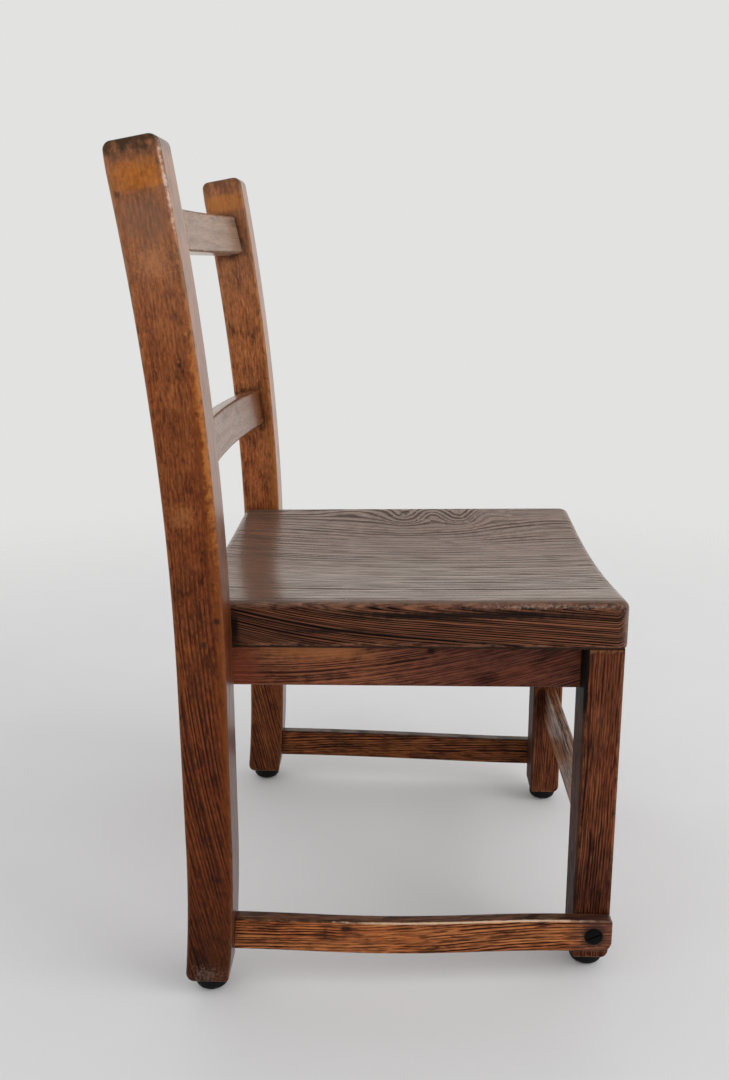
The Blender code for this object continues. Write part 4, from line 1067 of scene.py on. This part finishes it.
def make_side_stretcher(side, material):
    """A slat lapped on the front leg's outer face and shouldered against the post."""
    rear = stretcher_rear()
    low = Vector((0, LEG_LOW.y - FRONT, SIDE_STRETCHER_BOTTOM))
    high = Vector((SIDE_STRETCHER_THICKNESS, rear, SIDE_STRETCHER_BOTTOM + SIDE_STRETCHER_HEIGHT))
    bm = box(low, high)
    for level, radius in ((low.z, SIDE_STRETCHER_TOE), (high.z, SIDE_STRETCHER_NOSE)):
        round_edges(bm, edges_at(bm, z=level, y=low.y), radius, SIDE_STRETCHER_END_SEGMENTS)
    outline = [
        edge for edge in edges_round_faces(bm, 0)
        if any(abs(vert.co.y - rear) > TOUCH for vert in edge.verts)
    ]
    round_edges(bm, outline, SIDE_STRETCHER_EASE, EDGE_SEGMENTS)
    slice_across(bm, 1, spread(low.y + SIDE_STRETCHER_TOE, rear, SIDE_STRETCHER_SLICES))
    mark_timber(bm, 1, (low + high) / 2, SIDE_STRETCHER_HEARTS[side], STRETCHER_LEAN)
    wear_edges(bm, half_sizes(low, high, 1), SIDE_STRETCHER_EASE, EDGE_RUB / 2, 1, SIDE_STRETCHER_SEEDS[side])
    for vert in bm.verts:
        x, y, z = vert.co
        z += SIDE_STRETCHER_RISE * stretcher_run(y)
        slant = post_front(z) - FIT - rear if y > rear - TOUCH else 0.0
        vert.co = (SIDES[side] * (x + stretcher_inner(side, y)), FRONT + y + slant, z)
    add_piece("slat_stretcher_" + side, bm, "side_stretcher_" + side, material)


def screw_spot(side):
    """Where a stretcher's screw enters it, from the middle of the straight slat."""
    low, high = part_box("stretcher_screw_" + side)
    middle = (LEG_LOW.y - FRONT + stretcher_rear()) / 2
    height = (low.z + high.z) / 2 - SIDE_STRETCHER_BOTTOM - SIDE_STRETCHER_HEIGHT / 2
    return SIDE_STRETCHER_THICKNESS / 2, height, (low.y + high.y) / 2 - FRONT - middle


def quarter_turns(steps):
    """Angles from nothing to a quarter turn."""
    return [math.pi / 2 * step / steps for step in range(steps + 1)]


def make_foot(name, material):
    """A domed rubber foot with a recess for its screw."""
    low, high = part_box("foot_" + name)
    dome = [
        (FOOT_RADIUS - FOOT_DOME_WIDTH * (1 - math.cos(turn)), FOOT_DOME_HEIGHT * (1 - math.sin(turn)))
        for turn in quarter_turns(FOOT_STEPS)
    ]
    lip = [
        (FOOT_RADIUS - FOOT_LIP * (1 - math.sin(turn)), FOOT_HEIGHT - FOOT_LIP * (1 - math.cos(turn)))
        for turn in quarter_turns(FOOT_LIP_STEPS)
    ]
    recess = [(FOOT_RECESS_RADIUS, 0.0), (FOOT_RECESS_RADIUS, FOOT_RECESS_DEPTH),
              (FOOT_HOLE_RADIUS, FOOT_RECESS_DEPTH)]
    bm = turned([(FOOT_HOLE_RADIUS, FOOT_HEIGHT)] + lip + dome + recess, FOOT_SIDES)
    middle = (low + high) / 2
    bmesh.ops.translate(bm, verts=bm.verts, vec=(middle.x, middle.y, 0))
    add_piece("domed_foot_" + name, bm, "foot_" + name, material)


def make_stretcher_screw(side, material):
    """A sunk screw with a shallow domed head and a slot."""
    dome = [(SCREW_HEAD_RADIUS * math.sin(turn), SCREW_DOME * math.cos(turn))
            for turn in quarter_turns(SCREW_STEPS)]
    dome[0] = (0.0, SCREW_DOME)
    shank = [(SCREW_SHANK_RADIUS, -SCREW_SINK), (SCREW_SHANK_RADIUS, SCREW_TIP - SCREW_LENGTH),
             (0.0, -SCREW_LENGTH)]
    bm = turned(dome + shank, SCREW_SIDES)
    for axis, reach in ((1, SCREW_SLOT_WIDTH / 2), (0, SCREW_SLOT_REACH)):
        slice_across(bm, axis, (-reach, reach))
    bm.normal_update()
    slot = [
        face for face in bm.faces
        if face.normal.z > 0 and abs(face.calc_center_median().y) < SCREW_SLOT_WIDTH / 2
        and abs(face.calc_center_median().x) < SCREW_SLOT_REACH
    ]
    sunk = bmesh.ops.extrude_face_region(bm, geom=slot)["geom"]
    for item in sunk:
        if isinstance(item, bmesh.types.BMVert):
            item.co.z = SCREW_SLOT_FLOOR
    bmesh.ops.delete(bm, geom=[face for face in slot if face.is_valid], context="FACES_ONLY")
    low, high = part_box("stretcher_screw_" + side)
    rim = SIDES[side] * (max(abs(low.x), abs(high.x)) - SCREW_DOME)
    turn = Matrix.Rotation(SIDES[side] * math.pi / 2, 4, "Y") @ Matrix.Rotation(SCREW_SLOT_TURN, 4, "Z")
    place = Matrix.Translation((rim, (low.y + high.y) / 2, (low.z + high.z) / 2))
    bmesh.ops.transform(bm, matrix=place @ turn, verts=bm.verts)
    add_piece("slotted_screw_" + side, bm, "stretcher_screw_" + side, material)


# Operators, one for each piece or group of like pieces
class BuildBackPosts(bpy.types.Operator):
    """Build the two swept back posts"""
    bl_idname = "chair.back_posts"
    bl_label = "Back posts"

    def execute(self, context):
        look = context.scene.chair_post_wood
        half = ((POST_HIGH.x - POST_LOW.x) / 2, POST_FOOT_DEPTH / 2, (BACK_HEIGHT - WOOD_BOTTOM) / 2)
        for side in SIDES:
            marks = POST_MARKS + (RIGHT_POST_MARKS if side == "right" else LEFT_POST_MARKS)
            dents = RIGHT_POST_DENTS if side == "right" else ()
            material = wood("post_wood_" + side, look, half, marks, POST_FIGURE_FADE)
            make_post(side, dents, material)
        return {"FINISHED"}


class BuildBackRails(bpy.types.Operator):
    """Build the two bowed back rails"""
    bl_idname = "chair.back_rails"
    bl_label = "Back rails"

    def execute(self, context):
        half = (RAIL_THICKNESS / 2, RAIL_HEIGHT / 2, NO_END)
        for name, rail in RAILS.items():
            # The rail's shade: painted sheen on the upper rail, painted shade on the lower
            material = wood("rail_wood_" + name, context.scene.chair_rail_wood, half, (painted_light_tint(rail["shade"]),))
            make_rail(name, rail, (*RAIL_HEART, rail["level"]), material)
        return {"FINISHED"}


class BuildSeat(bpy.types.Operator):
    """Build the hollowed seat board"""
    bl_idname = "chair.seat"
    bl_label = "Seat"

    def execute(self, context):
        half = (SEAT_HIGH.x, SEAT_THICKNESS / 2, SEAT_DEPTH / 2)
        material = wood("seat_wood_polished", context.scene.chair_seat_wood, half, SEAT_MARKS)
        make_seat(material)
        return {"FINISHED"}


class BuildFrontLegs(bpy.types.Operator):
    """Build the two square front legs"""
    bl_idname = "chair.front_legs"
    bl_label = "Front legs"

    def execute(self, context):
        half = half_sizes(LEG_LOW, LEG_HIGH, 2)
        for side in SIDES:
            marks = LEG_MARKS + (RIGHT_LEG_MARKS if side == "right" else ())
            material = wood("leg_wood_" + side, context.scene.chair_leg_wood, half, marks)
            make_leg(side, material)
        return {"FINISHED"}


class BuildAprons(bpy.types.Operator):
    """Build the four aprons under the seat"""
    bl_idname = "chair.aprons"
    bl_label = "Aprons"

    def execute(self, context):
        for apron in APRONS:
            node, along = apron["node"], apron["along"]
            low, high = shoulders(node, along, apron["tenon"])
            marks = RIGHT_APRON_MARKS if node == "side_apron_right" else ()
            material = wood("apron_wood_" + node, context.scene.chair_apron_wood,
                            half_sizes(low, high, along)[:2] + [NO_END], marks)
            bm = board(low, high, along, APRON_EASE, APRON_SLICES, apron["heart"], apron["seed"], APRON_LEAN)
            bend_figure(bm, APRON_FIGURE_CURVE)
            add_piece("board_" + node, bm, node, material)
        return {"FINISHED"}


class BuildFrontStretcher(bpy.types.Operator):
    """Build the board between the front legs"""
    bl_idname = "chair.front_stretcher"
    bl_label = "Front stretcher"

    def execute(self, context):
        low, high = shoulders("front_stretcher", 0, FRONT_STRETCHER_TENON)
        half = half_sizes(low, high, 0)[:2] + [NO_END]
        look = context.scene.chair_stretcher_wood
        material = wood("stretcher_wood_front", look, half, FRONT_STRETCHER_PAINTED_SHADE_AND_SHEEN,
                        side_gloss=FRONT_STRETCHER_GLOSS)
        bm = board(low, high, 0, FRONT_STRETCHER_EASE, APRON_SLICES, FRONT_STRETCHER_HEART,
                   FRONT_STRETCHER_SEED)
        add_piece("board_front_stretcher", bm, "front_stretcher", material)
        return {"FINISHED"}


class BuildSideStretchers(bpy.types.Operator):
    """Build the two low side stretchers"""
    bl_idname = "chair.side_stretchers"
    bl_label = "Side stretchers"

    def execute(self, context):
        half = (SIDE_STRETCHER_THICKNESS / 2, SIDE_STRETCHER_HEIGHT / 2, NO_END)
        for side in SIDES:
            marks = STRETCHER_MARKS + (RIGHT_STRETCHER_MARKS if side == "right" else LEFT_STRETCHER_PAINTED_SHADE)
            marks += (mark(screw_spot(side), *SCREW_STAIN),)
            material = wood("stretcher_wood_" + side, context.scene.chair_stretcher_wood, half, marks)
            make_side_stretcher(side, material)
        return {"FINISHED"}


class BuildScrews(bpy.types.Operator):
    """Build the stretcher screws and finish the hidden ones"""
    bl_idname = "chair.screws"
    bl_label = "Screws"

    def execute(self, context):
        material = blackened_steel("blackened_steel", context.scene.chair_fittings.steel)
        for side in SIDES:
            make_stretcher_screw(side, material)
        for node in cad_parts:
            if node.startswith(("foot_screw", "seat_screw")):
                refinish(node, material)
        return {"FINISHED"}


class BuildFeet(bpy.types.Operator):
    """Build the four domed rubber feet"""
    bl_idname = "chair.feet"
    bl_label = "Rubber feet"

    def execute(self, context):
        material = rubber("matt_rubber", context.scene.chair_fittings.rubber)
        for end in ("front", "rear"):
            for side in SIDES:
                make_foot(end + "_" + side, material)
        return {"FINISHED"}


class FinishBlocks(bpy.types.Operator):
    """Finish the bare corner blocks under the seat"""
    bl_idname = "chair.blocks"
    bl_label = "Corner blocks"

    def execute(self, context):
        material = bare_wood("bare_block_wood", context.scene.chair_fittings.block)
        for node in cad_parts:
            if node.startswith("corner_block"):
                refinish(node, material)
        return {"FINISHED"}


def make_floor(tone):
    """A round pale floor that fades into the background."""
    bm = bmesh.new()
    bmesh.ops.create_circle(bm, cap_ends=True, radius=FLOOR_RADIUS, segments=FLOOR_SIDES)
    bmesh.ops.translate(bm, verts=bm.verts, vec=(0, 0, -FLOOR_DROP))
    mesh = bpy.data.meshes.new("floor")
    bm.to_mesh(mesh)
    bm.free()
    floor = bpy.data.objects.new("floor", mesh)
    bpy.context.scene.collection.objects.link(floor)
    material, finish = new_finish("pale_floor")
    place = finish.node("ShaderNodeTexCoord", {}, {}, "Object")
    mottle = finish.cloud(place, (FLOOR_MOTTLE,) * 3, 3.0, 0.5)
    shade = finish.mix([part * 0.97 for part in tone], tone, mottle)
    paint = finish.node("ShaderNodeBsdfPrincipled", {}, {"Base Color": shade, "Roughness": 0.75})
    clear = finish.node("ShaderNodeBsdfTransparent", {}, {})
    fade = finish.step(finish.reach(place), *FLOOR_FADE)
    blend = finish.node("ShaderNodeMixShader", {}, {0: fade, 1: paint, 2: clear})
    finish.node("ShaderNodeOutputMaterial", {}, {"Surface": blend})
    mesh.materials.append(material)


def make_surroundings(studio):
    """Soft light from all round, a plain background, and a room with a dim side seen in the polish."""
    world = bpy.data.worlds.new("studio")
    bpy.context.scene.world = world
    world.use_nodes = True
    finish = Finish(world.node_tree)
    paths = [finish.node("ShaderNodeLightPath", {}, {}, "Is " + kind + " Ray")
             for kind in ("Camera", "Glossy", "Transmission")]
    seen = finish.pick("MAXIMUM", finish.pick("MAXIMUM", paths[0], paths[1]), paths[2])
    across, _, up = finish.parts(finish.node("ShaderNodeTexCoord", {}, {}, "Generated"))
    level = 1.0 - finish.pick("ABSOLUTE", up)
    strength = (LOW_LIGHT * level + HIGH_LIGHT * (1.0 - level)) * studio.sky
    room = finish.mix(studio.dim_side, studio.background, finish.step(across, *DIM_SIDE_REACH))
    room = finish.mix(room, finish.mix(ROOM_LOW, ROOM_HIGH, finish.step(up, *ROOM_RISE)), 1.0, "MULTIPLY")
    wall = finish.mix(room, studio.background, paths[0])
    light = finish.node("ShaderNodeBackground", {}, {"Color": (1.0, 1.0, 1.0, 1.0), "Strength": strength})
    view = finish.node("ShaderNodeBackground", {}, {"Color": wall, "Strength": 1.0})
    blend = finish.node("ShaderNodeMixShader", {}, {0: seen, 1: light, 2: view})
    finish.node("ShaderNodeOutputWorld", {}, {"Surface": blend})


def make_lamp(power):
    """A large soft lamp that looks at the chair."""
    data = bpy.data.lights.new("window_lamp", "AREA")
    data.shape = "SQUARE"
    data.size = LAMP_SIZE
    data.energy = power
    lamp = bpy.data.objects.new("window_lamp", data)
    bpy.context.scene.collection.objects.link(lamp)
    lamp.location = LAMP_PLACE
    lamp.rotation_euler = (Vector(LAMP_TARGET) - Vector(LAMP_PLACE)).to_track_quat("-Z", "Y").to_euler()


class BuildStage(bpy.types.Operator):
    """Build the floor, light, background and camera"""
    bl_idname = "chair.stage"
    bl_label = "Studio"

    def execute(self, context):
        scene = context.scene
        studio = scene.chair_studio
        make_floor(studio.floor)
        make_surroundings(studio)
        make_lamp(studio.key)
        data = bpy.data.cameras.new("camera")
        data.sensor_fit = "VERTICAL"
        data.sensor_width = CAMERA_SENSOR
        data.sensor_height = CAMERA_SENSOR
        data.lens = CAMERA_LENS
        camera = bpy.data.objects.new("camera", data)
        scene.collection.objects.link(camera)
        camera.location = CAMERA_PLACE
        camera.rotation_euler = CAMERA_TURN
        scene.camera = camera
        scene.view_settings.view_transform = "Standard"
        return {"FINISHED"}


LOOKS = {
    "chair_post_wood": PostWood,
    "chair_rail_wood": RailWood,
    "chair_seat_wood": SeatWood,
    "chair_leg_wood": LegWood,
    "chair_apron_wood": ApronWood,
    "chair_stretcher_wood": StretcherWood,
    "chair_fittings": Fittings,
    "chair_studio": Studio,
}
BUILDERS = (BuildBackPosts, BuildBackRails, BuildSeat, BuildFrontLegs, BuildAprons, BuildFrontStretcher,
            BuildSideStretchers, BuildScrews, BuildFeet, FinishBlocks, BuildStage)


class ChairPanel(bpy.types.Panel):
    """Finishes and building steps of the chair"""
    bl_idname = "VIEW3D_PT_chair"
    bl_label = "Child's chair"
    bl_space_type = "VIEW_3D"
    bl_region_type = "UI"
    bl_category = "Chair"

    def draw(self, context):
        for builder in BUILDERS:
            self.layout.operator(builder.bl_idname)
        for name in LOOKS:
            group = getattr(context.scene, name)
            column = self.layout.column(heading=name)
            for field in group.__annotations__:
                column.prop(group, field)


def register():
    for group in LOOKS.values():
        bpy.utils.register_class(group)
    for builder in BUILDERS:
        bpy.utils.register_class(builder)
    bpy.utils.register_class(ChairPanel)
    for name, group in LOOKS.items():
        setattr(bpy.types.Scene, name, PointerProperty(type=group))


def unregister():
    for name in LOOKS:
        delattr(bpy.types.Scene, name)
    for kind in (ChairPanel, *BUILDERS, *LOOKS.values()):
        bpy.utils.unregister_class(kind)


def main():
    """Build the whole chair and its studio."""
    register()
    bpy.ops.chair.back_posts()
    bpy.ops.chair.back_rails()
    bpy.ops.chair.seat()
    bpy.ops.chair.front_legs()
    bpy.ops.chair.aprons()
    bpy.ops.chair.front_stretcher()
    bpy.ops.chair.side_stretchers()
    bpy.ops.chair.screws()
    bpy.ops.chair.feet()
    bpy.ops.chair.blocks()
    bpy.ops.chair.stage()


if __name__ == "__main__":
    main()
